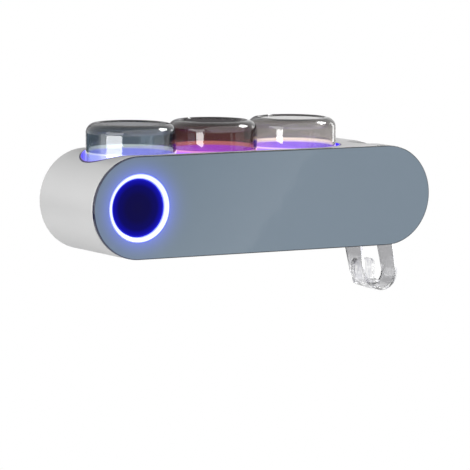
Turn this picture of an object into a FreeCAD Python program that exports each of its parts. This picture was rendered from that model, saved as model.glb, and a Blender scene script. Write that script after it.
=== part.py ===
import FreeCAD, Part
import Sketcher
import math
import os

# Wall-hung toothpaste dispenser with a brush cabinet below and a cup tray on top.
# Millimetres. +X runs to the right, +Z up, the wall is the plane Y = 0 and the front faces -Y.
# Z = 0 is half way up the housing. "Standoff" is a distance from the wall, so Y = -standoff.

sizes = {
    # housing
    "body_length": 308.0,
    "body_height": 80.0,
    "body_depth": 89.0,
    "shell_wall": 2.5,
    "shell_chamfer": 1.0,
    "rim_gap": 0.5,
    "fit_gap": 0.15,
    "run_gap": 0.3,
    "panel_thick": 2.6,
    "panel_gap": 0.8,
    "panel_edge": 0.6,
    # rear cover and its screws
    "cover_thick": 2.5,
    "cover_gap": 0.5,
    "boss_radius": 4.2,
    "boss_length": 10.0,
    "boss_sink": 0.3,
    "screw_radius": 1.5,
    "screw_length": 9.0,
    "screw_head_radius": 2.8,
    "screw_head_thick": 1.6,
    "screw_slack": 0.05,
    "lower_screw_room": 54.0,
    "upper_screw_room": 54.0,
    # wall bracket
    "bracket_width": 170.0,
    "bracket_height": 44.0,
    "bracket_thick": 2.5,
    "bracket_corner": 8.0,
    "wall_screw_spacing": 110.0,
    "wall_screw_radius": 2.25,
    "wall_screw_rise": 12.0,
    "hook_spacing": 120.0,
    "hook_width": 14.0,
    "hook_thick": 3.0,
    "hook_lip_rise": 7.0,
    "hook_lip_thick": 2.0,
    "hook_top": -8.0,
    "lift_travel": 10.0,
    # cups and their tray
    "cup_gap": 2.9,
    "cup_wall": 2.2,
    "cup_base": 3.0,
    "cup_height": 54.7,
    "cup_corner": 8.0,
    "cup_rim_flat": 0.8,
    "cup_dimple_depth": 0.8,
    "tray_end_room": 16.9,
    "tray_end_gap": 2.6,
    "tray_rear_gap": 0.7,
    "tray_front_gap": 2.6,
    "tray_gap": 0.9,
    "tray_wall": 1.5,
    "tray_floor": 2.0,
    "tray_floor_level": 7.0,
    "tray_ring_wall": 1.4,
    "tray_ring_height": 2.5,
    "cup_seat_gap": 0.4,
    "window_radius": 7.0,
    "window_thick": 1.2,
    "window_lip": 1.0,
    # brush cabinet
    "brush_spacing": 26.0,
    "brush_standoff": 45.5,
    "brush_slot": 9.0,
    "shell_slot_margin": 2.0,
    "rack_thick": 2.2,
    "guard_wall": 1.5,
    "guard_height": 1.5,
    "rack_front_gap": 1.4,
    "liner_standoff": 24.0,
    "liner_thick": 2.0,
    "divider_thick": 2.0,
    "divider_gap": 1.0,
    "lamp_hole_radius": 3.0,
    "lamp_size": 3.6,
    "lamp_thick": 1.6,
    "lamp_level": -12.0,
    "strip_height": 12.0,
    "strip_thick": 1.2,
    "strip_margin": 9.0,
    # electronics
    "board_width": 90.0,
    "board_height": 32.0,
    "board_thick": 1.6,
    "board_level": -17.0,
    "board_post_radius": 2.6,
    "board_post_length": 3.0,
    "board_post_inset": 5.0,
    "chip_size": 9.0,
    "chip_thick": 1.4,
    "coil_radius": 4.0,
    "coil_height": 4.5,
    "battery_end_room": 30.0,
    "battery_hook_gap": 5.0,
    "battery_height": 32.0,
    "battery_thick": 8.0,
    "battery_corner": 3.0,
    "battery_level": -12.5,
    "port_width": 9.0,
    "port_thick": 3.2,
    "port_length": 7.4,
    "port_wall": 0.4,
    # front cover and ring light
    "carrier_thick": 2.0,
    "carrier_inset": 4.5,
    "hinge_drop": 2.0,
    "hinge_room": 44.0,
    "hinge_ear_radius": 1.6,
    "hinge_ear_length": 4.0,
    "hinge_eye_width": 7.4,
    "hinge_pin_radius": 0.8,
    "ring_radius": 26.7,
    "ring_width": 4.0,
    "ring_slope": 2.5,
    "ring_flange": 1.4,
    "ring_flange_thick": 1.0,
    "ring_lip": 0.6,
    "lens_thick": 1.4,
    "ring_board_thick": 0.8,
    "sensor_radius": 4.5,
    "sensor_height": 1.0,
    "cap_thick": 0.8,
    "cap_wall": 1.4,
    "magnet_width": 9.0,
    "magnet_height": 6.0,
    "magnet_thick": 2.0,
    "catch_thick": 1.0,
    "catch_post_depth": 4.0,
    # paste tube socket, pump and lever
    "well_end_room": 12.7,
    "well_front_gap": 14.1,
    "well_divider_gap": 7.6,
    "well_radius": 18.2,
    "well_wall": 1.6,
    "well_floor": 2.0,
    "well_floor_level": 8.0,
    "seal_bore": 4.5,
    "seal_wall": 2.5,
    "seal_flange": 10.0,
    "seal_flange_thick": 1.5,
    "seal_depth": 5.0,
    "pump_width": 25.0,
    "pump_front_reach": 11.5,
    "pump_rear_reach": 10.5,
    "pump_foot": 6.5,
    "pump_foot_thick": 4.0,
    "pump_duct": 2.4,
    "plunger_radius": 4.3,
    "plunger_slack": 0.2,
    "plunger_length": 7.0,
    "plunger_head_radius": 7.0,
    "plunger_head_thick": 2.5,
    "plunger_ring_depth": 0.7,
    "plunger_ring_width": 1.6,
    "sleeve_length": 6.0,
    "sleeve_wall": 1.1,
    "nozzle_radius": 4.2,
    "nozzle_sink": 8.0,
    "nozzle_drop": 3.0,
    "nozzle_tip": 2.6,
    "nozzle_bore": 1.7,
    "lever_width": 33.2,
    "lever_wall": 2.5,
    "lever_front": 18.7,
    "lever_back": 5.0,
    "lever_drop": 60.9,
    "lever_front_lean": 12.2,
    "lever_back_lean": 20.6,
    "lever_push": 12.0,
    "lever_shoulder": 13.0,
    "lever_neck": 5.0,
    "pivot_inset": 4.0,
    "pivot_level": -18.0,
    "pin_radius": 1.5,
    "crank_rise": 14.0,
    "crank_half": 2.6,
    "nose_radius": 2.2,
    "tongue_side_gap": 5.1,
    "tongue_height": 23.4,
    "tongue_thick": 6.0,
    "tongue_behind": 3.5,
    "tongue_heel": 9.0,
    "tongue_bite": 1.2,
    "tongue_inset": 0.6,
    "tongue_corner": 5.0,
    "opening_gap": 2.5,
}

doc = FreeCAD.newDocument("toothpaste_dispenser")
sheet = doc.addObject("Spreadsheet::Sheet", "Sizes")


class Size:
    # A length that carries both its value and the sheet expression that gives it.
    def __init__(self, value, text):
        self.value = value
        self.text = text

    def __add__(self, other):
        other = as_size(other)
        return Size(self.value + other.value, f"({self.text} + {other.text})")

    def __sub__(self, other):
        other = as_size(other)
        return Size(self.value - other.value, f"({self.text} - {other.text})")

    def __mul__(self, other):
        other = as_size(other)
        return Size(self.value * other.value, f"({self.text} * {other.text})")

    def __truediv__(self, other):
        other = as_size(other)
        return Size(self.value / other.value, f"({self.text} / {other.text})")

    def __neg__(self):
        return Size(-self.value, f"(0 - {self.text})")

    def __radd__(self, other):
        return as_size(other) + self

    def __rsub__(self, other):
        return as_size(other) - self

    def __rmul__(self, other):
        return as_size(other) * self


def as_size(number):
    if isinstance(number, Size):
        return number
    return Size(float(number), f"{float(number):.6f}")


def tangent(degrees):
    return Size(math.tan(math.radians(degrees.value)), f"tan({degrees.text} * 1 deg)")


def smaller(one, other):
    return Size(min(one.value, other.value), f"min({one.text}; {other.text})")


def square_root(amount):
    return Size(math.sqrt(amount.value), f"sqrt({amount.text})")


def fill_sheet():
    # Writes every driving size into its own named cell.
    for row, (name, value) in enumerate(sizes.items(), start=1):
        sheet.set(f"A{row}", name)
        sheet.set(f"B{row}", f"{value:.6g}")
        sheet.setAlias(f"B{row}", name)
    doc.recompute()


def size(name):
    return Size(float(sheet.get(name)), f"Sizes.{name}")


def bind(thing, place, amount):
    thing.setExpression(place, as_size(amount).text)


class Circle:
    def __init__(self, across, up, radius):
        self.across = as_size(across)
        self.up = as_size(up)
        self.radius = as_size(radius)

    def draw(self, drawing):
        centre = FreeCAD.Vector(self.across.value, self.up.value, 0)
        axis = FreeCAD.Vector(0, 0, 1)
        index = drawing.addGeometry(Part.Circle(centre, axis, self.radius.value), False)
        pin_point(drawing, index, 3, self.across, self.up, f"circle_{index}")
        name = f"circle_{index}_radius"
        fix(drawing, Sketcher.Constraint("Radius", index, self.radius.value), name, self.radius)


def fix(drawing, constraint, name, amount):
    # Adds a dimension to a sketch and ties it to its expression.
    number = drawing.addConstraint(constraint)
    drawing.renameConstraint(number, name)
    bind(drawing, f"Constraints.{name}", amount)


def pin_point(drawing, index, end, across, up, name):
    fix(drawing, Sketcher.Constraint("DistanceX", -1, 1, index, end, across.value), f"{name}_x", across)
    fix(drawing, Sketcher.Constraint("DistanceY", -1, 1, index, end, up.value), f"{name}_y", up)


class Outline:
    # A closed line of straight runs and arcs. Each step is (x, y) for a straight run
    # or (x, y, centre_x, centre_y, turn) for an arc, turn +1 anticlockwise and -1 clockwise.
    def __init__(self, steps):
        self.steps = [tuple(as_size(n) for n in step[:4]) + tuple(step[4:]) for step in steps]

    def draw(self, drawing):
        ends = []
        for number, step in enumerate(self.steps):
            before = self.steps[number - 1]
            ends.append(self.draw_step(drawing, before, step))
        for number, (index, start, end) in enumerate(ends):
            last_index, last_start, last_end = ends[number - 1]
            drawing.addConstraint(Sketcher.Constraint("Coincident", last_index, last_end, index, start))
        for (index, start, end), step in zip(ends, self.steps):
            pin_point(drawing, index, end, step[0], step[1], f"corner_{index}")
            if len(step) > 2:
                self.pin_centre(drawing, index, self.steps[self.steps.index(step) - 1], step)

    def draw_step(self, drawing, before, step):
        start = FreeCAD.Vector(before[0].value, before[1].value, 0)
        end = FreeCAD.Vector(step[0].value, step[1].value, 0)
        if len(step) == 2:
            return drawing.addGeometry(Part.LineSegment(start, end), False), 1, 2
        centre = FreeCAD.Vector(step[2].value, step[3].value, 0)
        from_angle = math.atan2(start.y - centre.y, start.x - centre.x)
        to_angle = math.atan2(end.y - centre.y, end.x - centre.x)
        circle = Part.Circle(centre, FreeCAD.Vector(0, 0, 1), (start - centre).Length)
        if step[4] > 0:
            arc = Part.ArcOfCircle(circle, from_angle, to_angle)
            return drawing.addGeometry(arc, False), 1, 2
        arc = Part.ArcOfCircle(circle, to_angle, from_angle)
        return drawing.addGeometry(arc, False), 2, 1

    def pin_centre(self, drawing, index, before, step):
        # One coordinate of the centre settles an arc between two fixed ends.
        upright = abs(before[0].value - step[0].value) < abs(before[1].value - step[1].value)
        kind = "DistanceX" if upright else "DistanceY"
        amount = step[2] if upright else step[3]
        fix(drawing, Sketcher.Constraint(kind, -1, 1, index, 3, amount.value), f"centre_{index}", amount)


def rectangle(left, low, right, high):
    return Outline([(right, low), (right, high), (left, high), (left, low)])


def rounded(left, low, right, high, radius):
    return Outline([
        (right - radius, low),
        (right, low + radius, right - radius, low + radius, 1),
        (right, high - radius),
        (right - radius, high, right - radius, high - radius, 1),
        (left + radius, high),
        (left, high - radius, left + radius, high - radius, 1),
        (left, low + radius),
        (left + radius, low, left + radius, low + radius, 1),
    ])


def stadium(left, right, level, radius):
    # Two half circles about (left, level) and (right, level), joined by straight runs.
    return Outline([
        (right, level - radius),
        (right, level + radius, right, level, 1),
        (left, level + radius),
        (left, level - radius, left, level, 1),
    ])


def open_slot(across, end, mouth, width):
    # A slot that runs from a round end towards -Y, where it is open.
    half = width / 2
    return Outline([
        (across - half, mouth),
        (across + half, mouth),
        (across + half, end),
        (across - half, end, across, end, 1),
    ])


def new_body(name):
    piece = doc.addObject("PartDesign::Body", name)
    piece.Label = name
    piece.AllowCompound = True
    return piece


def place(piece, across=0.0, standoff=0.0, level=0.0):
    bind(piece, "Placement.Base.x", across)
    bind(piece, "Placement.Base.y", -as_size(standoff))
    bind(piece, "Placement.Base.z", level)


def origin_part(piece, role):
    return next(item for item in piece.Origin.OriginFeatures if item.Role == role)


def new_sketch(piece, role, offset, outlines):
    drawing = piece.newObject("Sketcher::SketchObject", f"{piece.Name}_outline")
    drawing.AttachmentSupport = [(origin_part(piece, role), "")]
    drawing.MapMode = "FlatFace"
    bind(drawing, "AttachmentOffset.Base.z", offset)
    for outline in outlines:
        outline.draw(drawing)
    return drawing


def pad(piece, role, start, end, *outlines):
    # Adds material from start to end along the plane's normal.
    drawing = new_sketch(piece, role, start, outlines)
    feature = piece.newObject("PartDesign::Pad", f"{piece.Name}_pad")
    feature.Profile = drawing
    bind(feature, "Length", as_size(end) - start)
    return feature


def pocket(piece, role, start, end, *outlines):
    # Takes material away between start and end, with end the further along the plane's normal.
    drawing = new_sketch(piece, role, end, outlines)
    feature = piece.newObject("PartDesign::Pocket", f"{piece.Name}_pocket")
    feature.Profile = drawing
    bind(feature, "Length", as_size(end) - start)
    return feature


def turned(name, *outlines):
    # A solid of revolution about its own upright axis, drawn as (radius, height).
    piece = new_body(name)
    drawing = new_sketch(piece, "XZ_Plane", 0, outlines)
    feature = piece.newObject("PartDesign::Revolution", f"{name}_turned")
    feature.Profile = drawing
    feature.ReferenceAxis = (origin_part(piece, "Z_Axis"), [""])
    feature.Angle = 360
    return piece


def face_forward(piece, across, level):
    # Lays a turned piece over so that its heights become standoffs from the wall.
    piece.Placement.Rotation = FreeCAD.Rotation(FreeCAD.Vector(1, 0, 0), 90)
    place(piece, across, 0, level)


def trimmed(name, piece, keeper):
    # Keeps only what lies inside another solid, so that a rim follows the housing's own curve.
    result = doc.addObject("Part::Common", name)
    result.Base = piece
    result.Tool = keeper
    result.Label = name
    piece.Label = f"{name}_untrimmed"
    return result


def prism(name, inset, start, end):
    # The housing's long round-ended section, drawn in by an inset.
    piece = new_body(name)
    pad(piece, "XZ_Plane", start, end, stadium(-arc_place, arc_place, 0, half_height - inset))
    return piece


def edges_at(feature, test):
    shape = feature.Shape
    names = []
    for number, edge in enumerate(shape.Edges, start=1):
        if all(test(vertex.Point) for vertex in edge.Vertexes) and test(edge.CenterOfMass):
            names.append(f"Edge{number}")
    return names


def soften(piece, kind, amount, test):
    # Rounds or chamfers every edge whose ends and middle pass the test.
    doc.recompute()
    base = piece.Tip
    feature = piece.newObject(f"PartDesign::{kind}", f"{piece.Name}_{kind.lower()}")
    feature.Base = (base, edges_at(base, test))
    bind(feature, "Radius" if kind == "Fillet" else "Size", amount)


def group(name, members):
    result = doc.addObject("Part::Compound", name)
    result.Links = members
    result.Label = name
    return result


def block(name, left, right, near, far, low, high):
    # A plain box between two X, two standoffs and two levels.
    piece = doc.addObject("Part::Box", name)
    bind(piece, "Length", right - left)
    bind(piece, "Width", far - near)
    bind(piece, "Height", high - low)
    place(piece, left, far, low)
    return piece


def rod_across(name, left, right, standoff, level, radius):
    # A round bar along X.
    piece = doc.addObject("Part::Cylinder", name)
    piece.Placement.Rotation = FreeCAD.Rotation(FreeCAD.Vector(0, 1, 0), 90)
    bind(piece, "Radius", radius)
    bind(piece, "Height", right - left)
    place(piece, left, standoff, level)
    return piece


fill_sheet()

# Places that several pieces share
fit_gap = size("fit_gap")
run_gap = size("run_gap")
half_height = size("body_height") / 2
half_length = size("body_length") / 2
arc_place = half_length - half_height
panel_back = size("body_depth") - size("panel_thick")
shell_front = panel_back - size("panel_gap")
inner_half = half_height - size("shell_wall")
beyond = size("body_height")

cover_back = size("bracket_thick") + size("cover_gap")
cover_front = cover_back + size("cover_thick")

carrier_back = panel_back - size("carrier_thick")
well_outer = size("well_radius") + size("well_wall")
tube_place = half_length - size("well_end_room") - well_outer
tube_standoff = carrier_back - size("well_front_gap") - well_outer
tube_line = -tube_standoff
divider_right = tube_place - well_outer - size("well_divider_gap")
divider_left = divider_right - size("divider_thick")

# The tray fills the housing's length between its round end and the divider, and its depth.
# The three cups are as wide as both allow.
tray_left = size("tray_end_room") - half_length
tray_length = divider_left - size("divider_gap") - tray_left
tray_depth = carrier_back - size("tray_front_gap") - cover_front - size("tray_rear_gap")
tray_rim = size("tray_gap") + size("tray_wall")
cup_by_length = (tray_length - tray_rim * 2 - size("tray_end_gap") * 2 - size("cup_gap") * 2) / 6
cup_by_depth = tray_depth / 2 - tray_rim
cup_radius = smaller(cup_by_length, cup_by_depth)
tray_radius = cup_radius + size("tray_gap")
tray_outer = tray_radius + size("tray_wall")
tray_ends = [tray_left + tray_outer, tray_left + tray_length - tray_outer]
cup_pitch = tray_length / 2 - tray_outer - size("tray_end_gap")
cup_places = [tray_ends[0] + size("tray_end_gap") + cup_pitch * n for n in range(3)]
cup_standoff = cover_front + size("tray_rear_gap") + tray_outer
tray_line = -cup_standoff
tray_level = size("tray_floor_level")
tray_under = tray_level - size("tray_floor")
cup_low = tray_level + size("cup_seat_gap")

brush_line = -size("brush_standoff")
brush_places = []
for cup_place in cup_places:
    brush_places.append(cup_place - size("brush_spacing") / 2)
    brush_places.append(cup_place + size("brush_spacing") / 2)

liner_front = size("liner_standoff")
liner_back = liner_front - size("liner_thick")
rack_front = carrier_back - size("rack_front_gap")
rack_low = fit_gap - inner_half
rack_high = rack_low + size("rack_thick")
cabinet_left = -arc_place
cabinet_right = divider_left - fit_gap

hinge_standoff = shell_front - size("hinge_ear_radius")
hinge_level = half_height - size("hinge_drop")
hinge_places = [size("hinge_room") - half_length, half_length - size("hinge_room")]

ring_place = -arc_place
ring_hole = size("ring_radius") + fit_gap
ring_inner = size("ring_radius") - size("ring_width")
ring_front = size("body_depth")
lens_front = ring_front - size("ring_slope")
ring_back = carrier_back - size("ring_flange_thick")
ring_board_back = ring_back - size("ring_board_thick")
cap_back = ring_board_back - size("cap_thick")
ring_flange_radius = ring_hole + size("ring_flange")

magnet_places = [(cup_places[0] + cup_places[1]) / 2, (cup_places[1] + cup_places[2]) / 2]
magnet_low = rack_high + run_gap
magnet_back = carrier_back - size("magnet_thick")
catch_front = magnet_back - run_gap
catch_back = catch_front - size("catch_thick")

well_under = size("well_floor_level") - size("well_floor")
seal_outer = size("seal_bore") + size("seal_wall")

pump_front = tube_standoff + size("pump_front_reach")
pump_rear = tube_standoff - size("pump_rear_reach")
pivot_standoff = pump_rear + size("pivot_inset")
pivot_level = size("pivot_level")
lever_half = size("lever_width") / 2
lever_inner = lever_half - size("lever_wall")
pump_left = tube_place - size("pump_width") / 2
pump_right = tube_place + size("pump_width") / 2
plunger_level = pivot_level + size("crank_rise")
plunger_bore = size("plunger_radius") + size("plunger_slack")
head_front = pump_rear - size("sleeve_length")
head_back = head_front - size("plunger_head_thick")
nose_behind = pivot_standoff - head_back + run_gap + size("nose_radius")
exit_drop = pivot_level + half_height
opening_front = pivot_standoff + size("lever_front") + size("opening_gap")
opening_back = (
    pivot_standoff - size("lever_back") - exit_drop * tangent(size("lever_push")) - size("opening_gap")
)
opening_half = lever_half + size("opening_gap")

boss_edge = size("boss_radius") - size("boss_sink")
end_boss = arc_place + inner_half - boss_edge
floor_boss = boss_edge - inner_half
lower_screw = half_length - size("lower_screw_room")
upper_screw = half_length - size("upper_screw_room")
screw_places = [
    (-end_boss, as_size(0)),
    (end_boss, as_size(0)),
    (-lower_screw, floor_boss),
    (lower_screw, floor_boss),
    (upper_screw, inner_half - boss_edge),
]

board_back = cover_front + size("board_post_length")
board_front = board_back + size("board_thick")
port_standoff = board_front + size("port_thick") / 2

hook_low = size("hook_top") - size("hook_thick")
hook_places = [size("hook_spacing") / -2, size("hook_spacing") / 2]
hook_end = cover_front + run_gap + size("hook_lip_thick")


def make_wall_bracket():
    # A flat plate screwed to the wall, with two hooks that the housing drops onto.
    piece = new_body("wall_bracket")
    half_width = size("bracket_width") / 2
    half_tall = size("bracket_height") / 2
    plate = rounded(-half_width, -half_tall, half_width, half_tall, size("bracket_corner"))
    rise = size("wall_screw_rise")
    holes = [
        Circle(size("wall_screw_spacing") / side, rise, size("wall_screw_radius")) for side in (-2, 2)
    ]
    pad(piece, "XZ_Plane", 0, size("bracket_thick"), plate, *holes)
    half_hook = size("hook_width") / 2
    lip_back = hook_end - size("hook_lip_thick")
    lip_top = size("hook_top") + size("hook_lip_rise")
    for centre in hook_places:
        stem = rectangle(centre - half_hook, hook_low, centre + half_hook, size("hook_top"))
        pad(piece, "XZ_Plane", size("bracket_thick"), hook_end, stem)
        lip = rectangle(centre - half_hook, size("hook_top"), centre + half_hook, lip_top)
        pad(piece, "XZ_Plane", lip_back, hook_end, lip)
    return piece


def make_body_shell():
    # The long round-ended tube, open at the back and at the front, with every opening cut in it.
    piece = new_body("body_shell")
    outer = stadium(-arc_place, arc_place, 0, half_height)
    inner = stadium(-arc_place, arc_place, 0, inner_half)
    pad(piece, "XZ_Plane", size("rim_gap"), shell_front, outer, inner)
    soften(piece, "Chamfer", size("shell_chamfer"), on_front_rim)
    add_shell_bosses(piece)
    add_hinge_ears(piece)
    cut_shell_top(piece)
    cut_shell_floor(piece)
    return piece


def on_front_rim(point):
    # True on the outer edge of the shell's front face.
    across = max(abs(point.x) - arc_place.value, 0.0)
    outside = math.hypot(across, point.z) > half_height.value - 0.1
    return outside and abs(point.y + shell_front.value) < 0.01


def add_shell_bosses(piece):
    # Round bosses along the inside take the rear cover's screws.
    boss_end = cover_front + size("boss_length")
    bosses = [Circle(across, level, size("boss_radius")) for across, level in screw_places]
    pad(piece, "XZ_Plane", cover_front, boss_end, *bosses)
    bore = size("screw_radius") + size("screw_slack")
    bores = [Circle(across, level, bore) for across, level in screw_places]
    pocket(piece, "XZ_Plane", cover_front, boss_end - size("shell_wall"), *bores)


def add_hinge_ears(piece):
    # Ears under the top edge hold the pins that the front cover swings on.
    half_eye = size("hinge_eye_width") / 2 + run_gap
    reach = half_eye + size("hinge_ear_length")
    notch_back = hinge_standoff - size("hinge_ear_radius") - run_gap
    wall = size("shell_wall")
    for centre in hinge_places:
        ear = Circle(-hinge_standoff, hinge_level, size("hinge_ear_radius"))
        pad(piece, "YZ_Plane", centre - reach, centre + reach, ear)
        low = hinge_level - size("hinge_ear_radius") - run_gap
        notch = rectangle(-shell_front - wall, low, -notch_back, half_height + wall)
        pocket(piece, "YZ_Plane", centre - half_eye, centre + half_eye, notch)
        bore = Circle(-hinge_standoff, hinge_level, size("hinge_pin_radius") + size("screw_slack"))
        pocket(piece, "YZ_Plane", centre - reach, centre + reach, bore)


def cut_shell_top(piece):
    # The long opening for the cup tray and the round one for the tube socket.
    tray = stadium(*tray_ends, tray_line, tray_outer + fit_gap)
    socket = Circle(tube_place, tube_line, well_outer + fit_gap)
    pocket(piece, "XY_Plane", tray_level, beyond, tray)
    pocket(piece, "XY_Plane", size("well_floor_level"), beyond, socket)


def cut_shell_floor(piece):
    # Six brush slots open to the front, the lever's opening and the charging port's window.
    width = size("brush_slot") + size("shell_slot_margin") * 2
    slots = [open_slot(across, brush_line, -panel_back, width) for across in brush_places]
    pocket(piece, "XY_Plane", -beyond, -inner_half / 2, *slots)
    lever_way = rounded(
        tube_place - opening_half, -opening_front, tube_place + opening_half, -opening_back,
        size("opening_gap"),
    )
    pocket(piece, "XY_Plane", -beyond, pivot_level - size("pin_radius"), lever_way)
    half_port = size("port_thick") / 2 + fit_gap
    port_reach = size("port_width") / 2 - size("port_thick") / 2
    window = stadium(-port_reach, port_reach, -port_standoff, half_port)
    pocket(piece, "XY_Plane", -beyond, -inner_half / 2, window)


def make_rear_cover():
    # The plate that closes the back, with slots for the bracket's hooks and posts for the board.
    piece = new_body("rear_cover")
    outline = stadium(-arc_place, arc_place, 0, inner_half - fit_gap)
    clear = size("screw_radius") + fit_gap
    holes = [Circle(across, level, clear) for across, level in screw_places]
    half_slot = size("hook_width") / 2 + run_gap
    slot_low = hook_low - size("lift_travel") - run_gap
    slot_high = size("hook_top") + run_gap
    slots = [
        rectangle(centre - half_slot, slot_low, centre + half_slot, slot_high) for centre in hook_places
    ]
    pad(piece, "XZ_Plane", cover_back, cover_front, outline, *holes, *slots)
    across = size("board_width") / 2 - size("board_post_inset")
    up = size("board_height") / 2 - size("board_post_inset")
    posts = [
        Circle(across * side, size("board_level") + up * end, size("board_post_radius"))
        for side in (-1, 1) for end in (-1, 1)
    ]
    pad(piece, "XZ_Plane", cover_front, board_back, *posts)
    return piece


def make_rear_screws():
    # Five pan-head screws through the rear cover into the shell's bosses.
    members = []
    head_back_face = cover_back - size("screw_head_thick")
    tip = cover_back + size("screw_length")
    profile = Outline([
        (size("screw_head_radius"), head_back_face),
        (size("screw_head_radius"), cover_back),
        (size("screw_radius"), cover_back),
        (size("screw_radius"), tip),
        (as_size(0), tip),
        (as_size(0), head_back_face),
    ])
    for number, (across, level) in enumerate(screw_places):
        screw = turned(f"rear_screw_{number}", profile)
        face_forward(screw, across, level)
        members.append(screw)
    return group("rear_screws", members)


def make_cup_tray(outer_form):
    # A long tub that hangs in the top opening and ends flush with the housing's curve.
    piece = new_body("cup_tray_tub")
    pad(piece, "XY_Plane", tray_under, beyond, stadium(*tray_ends, tray_line, tray_outer))
    pocket(piece, "XY_Plane", tray_level, beyond, stadium(*tray_ends, tray_line, tray_radius))
    ring_out = cup_radius - size("cup_wall") - size("tray_gap")
    ring_in = ring_out - size("tray_ring_wall")
    rings = []
    for across in cup_places:
        rings.append(Circle(across, tray_line, ring_out))
        rings.append(Circle(across, tray_line, ring_in))
    pad(piece, "XY_Plane", tray_level, tray_level + size("tray_ring_height"), *rings)
    lights = [Circle(across, tray_line, size("window_radius")) for across in cup_places]
    pocket(piece, "XY_Plane", tray_under, tray_level, *lights)
    return trimmed("cup_tray", piece, outer_form)


def make_cup_windows():
    # Clear discs that let the germ-killing light up into each cup.
    members = []
    lip = size("window_radius") + size("window_lip")
    plug = size("window_radius") - fit_gap
    top = tray_level + size("window_thick")
    profile = Outline([
        (lip, tray_level),
        (lip, top),
        (as_size(0), top),
        (as_size(0), tray_under),
        (plug, tray_under),
        (plug, tray_level),
    ])
    for number, across in enumerate(cup_places):
        disc = turned(f"cup_window_{number}", profile)
        place(disc, across, cup_standoff, 0)
        members.append(disc)
    return group("cup_windows", members)


def make_cup_lamps():
    # One lamp on a small round board under each window.
    members = []
    board_top = tray_under - size("lamp_thick")
    board_low = board_top - size("strip_thick")
    disc = size("window_radius") + size("window_lip")
    half = size("lamp_size") / 2
    profile = Outline([
        (disc, board_low),
        (disc, board_top),
        (half, board_top),
        (half, tray_under),
        (as_size(0), tray_under),
        (as_size(0), board_low),
    ])
    for number, across in enumerate(cup_places):
        lamp = turned(f"cup_lamp_{number}", profile)
        place(lamp, across, cup_standoff, 0)
        members.append(lamp)
    return group("cup_lamps", members)


def make_cup(name, across):
    # A drinking cup, mouth down, with a rounded shoulder and a shallow dimple in its base.
    radius = cup_radius
    corner = size("cup_corner")
    inside = radius - size("cup_wall")
    inner_corner = corner - size("cup_wall")
    top = size("cup_height")
    under = top - size("cup_base")
    dimple = radius - corner - size("cup_rim_flat")
    dimple_floor = top - size("cup_dimple_depth")
    profile = Outline([
        (radius, as_size(0)),
        (radius, top - corner),
        (radius - corner, top, radius - corner, top - corner, 1),
        (dimple, top),
        (dimple - size("cup_dimple_depth"), dimple_floor),
        (as_size(0), dimple_floor),
        (as_size(0), under),
        (inside - inner_corner, under),
        (inside, under - inner_corner, inside - inner_corner, under - inner_corner, -1),
        (inside, as_size(0)),
    ])
    piece = turned(name, profile)
    place(piece, across, cup_standoff, cup_low)
    return piece


def make_brush_rack():
    # The plate that the brush necks slide into, with a raised guard round each slot.
    piece = new_body("brush_rack")
    plate = rectangle(cabinet_left, -rack_front, cabinet_right, -liner_front - fit_gap)
    pad(piece, "XY_Plane", rack_low, rack_high, plate)
    guard_width = size("brush_slot") + size("guard_wall") * 2
    guards = [open_slot(across, brush_line, -rack_front, guard_width) for across in brush_places]
    pad(piece, "XY_Plane", rack_high, rack_high + size("guard_height"), *guards)
    slots = [open_slot(across, brush_line, -carrier_back, size("brush_slot")) for across in brush_places]
    pocket(piece, "XY_Plane", rack_low, rack_high + size("guard_height"), *slots)
    half_post = size("magnet_width") / 2
    post_back = catch_back - size("catch_post_depth")
    post_high = magnet_low + size("magnet_height")
    for across in magnet_places:
        post = rectangle(across - half_post, -catch_back, across + half_post, -post_back)
        pad(piece, "XY_Plane", rack_high, post_high, post)
    return piece


def make_catch_plates():
    # Steel plates on the rack's posts that the front cover's magnets hold on to.
    half = size("magnet_width") / 2
    high = magnet_low + size("magnet_height")
    members = []
    for number, across in enumerate(magnet_places):
        members.append(block(
            f"catch_plate_{number}", across - half, across + half, catch_back, catch_front, rack_high, high,
        ))
    return group("catch_plates", members)


def make_chamber_liner(inner_form):
    # The wall behind the brushes, with a round hole for each lamp.
    piece = new_body("chamber_liner_sheet")
    sheet_form = rectangle(-arc_place - half_height, -inner_half, cabinet_right, tray_under - fit_gap)
    holes = [Circle(across, size("lamp_level"), size("lamp_hole_radius")) for across in brush_places]
    pad(piece, "XZ_Plane", liner_back, liner_front, sheet_form, *holes)
    return trimmed("chamber_liner", piece, inner_form)


def make_lamp_strip():
    # The narrow board that carries the brush lamps behind the liner.
    margin = size("strip_margin")
    half = size("strip_height") / 2
    back = liner_back - size("strip_thick")
    return block(
        "lamp_strip", brush_places[0] - margin, brush_places[-1] + margin, back, liner_back,
        size("lamp_level") - half, size("lamp_level") + half,
    )


def make_brush_lamps():
    # Six square lamps that shine through the liner's holes.
    half = size("lamp_size") / 2
    members = []
    for number, across in enumerate(brush_places):
        members.append(block(
            f"brush_lamp_{number}", across - half, across + half, liner_back,
            liner_back + size("lamp_thick"), size("lamp_level") - half, size("lamp_level") + half,
        ))
    return group("brush_lamps", members)


def make_divider_wall():
    # The upright wall between the brush cabinet and the paste pump.
    return block(
        "divider_wall", divider_left, divider_right, cover_front + fit_gap, rack_front,
        fit_gap - inner_half, inner_half - fit_gap,
    )


def make_main_board():
    half_wide = size("board_width") / 2
    half_tall = size("board_height") / 2
    level = size("board_level")
    return block(
        "main_board", -half_wide, half_wide, board_back, board_front, level - half_tall, level + half_tall,
    )


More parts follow.
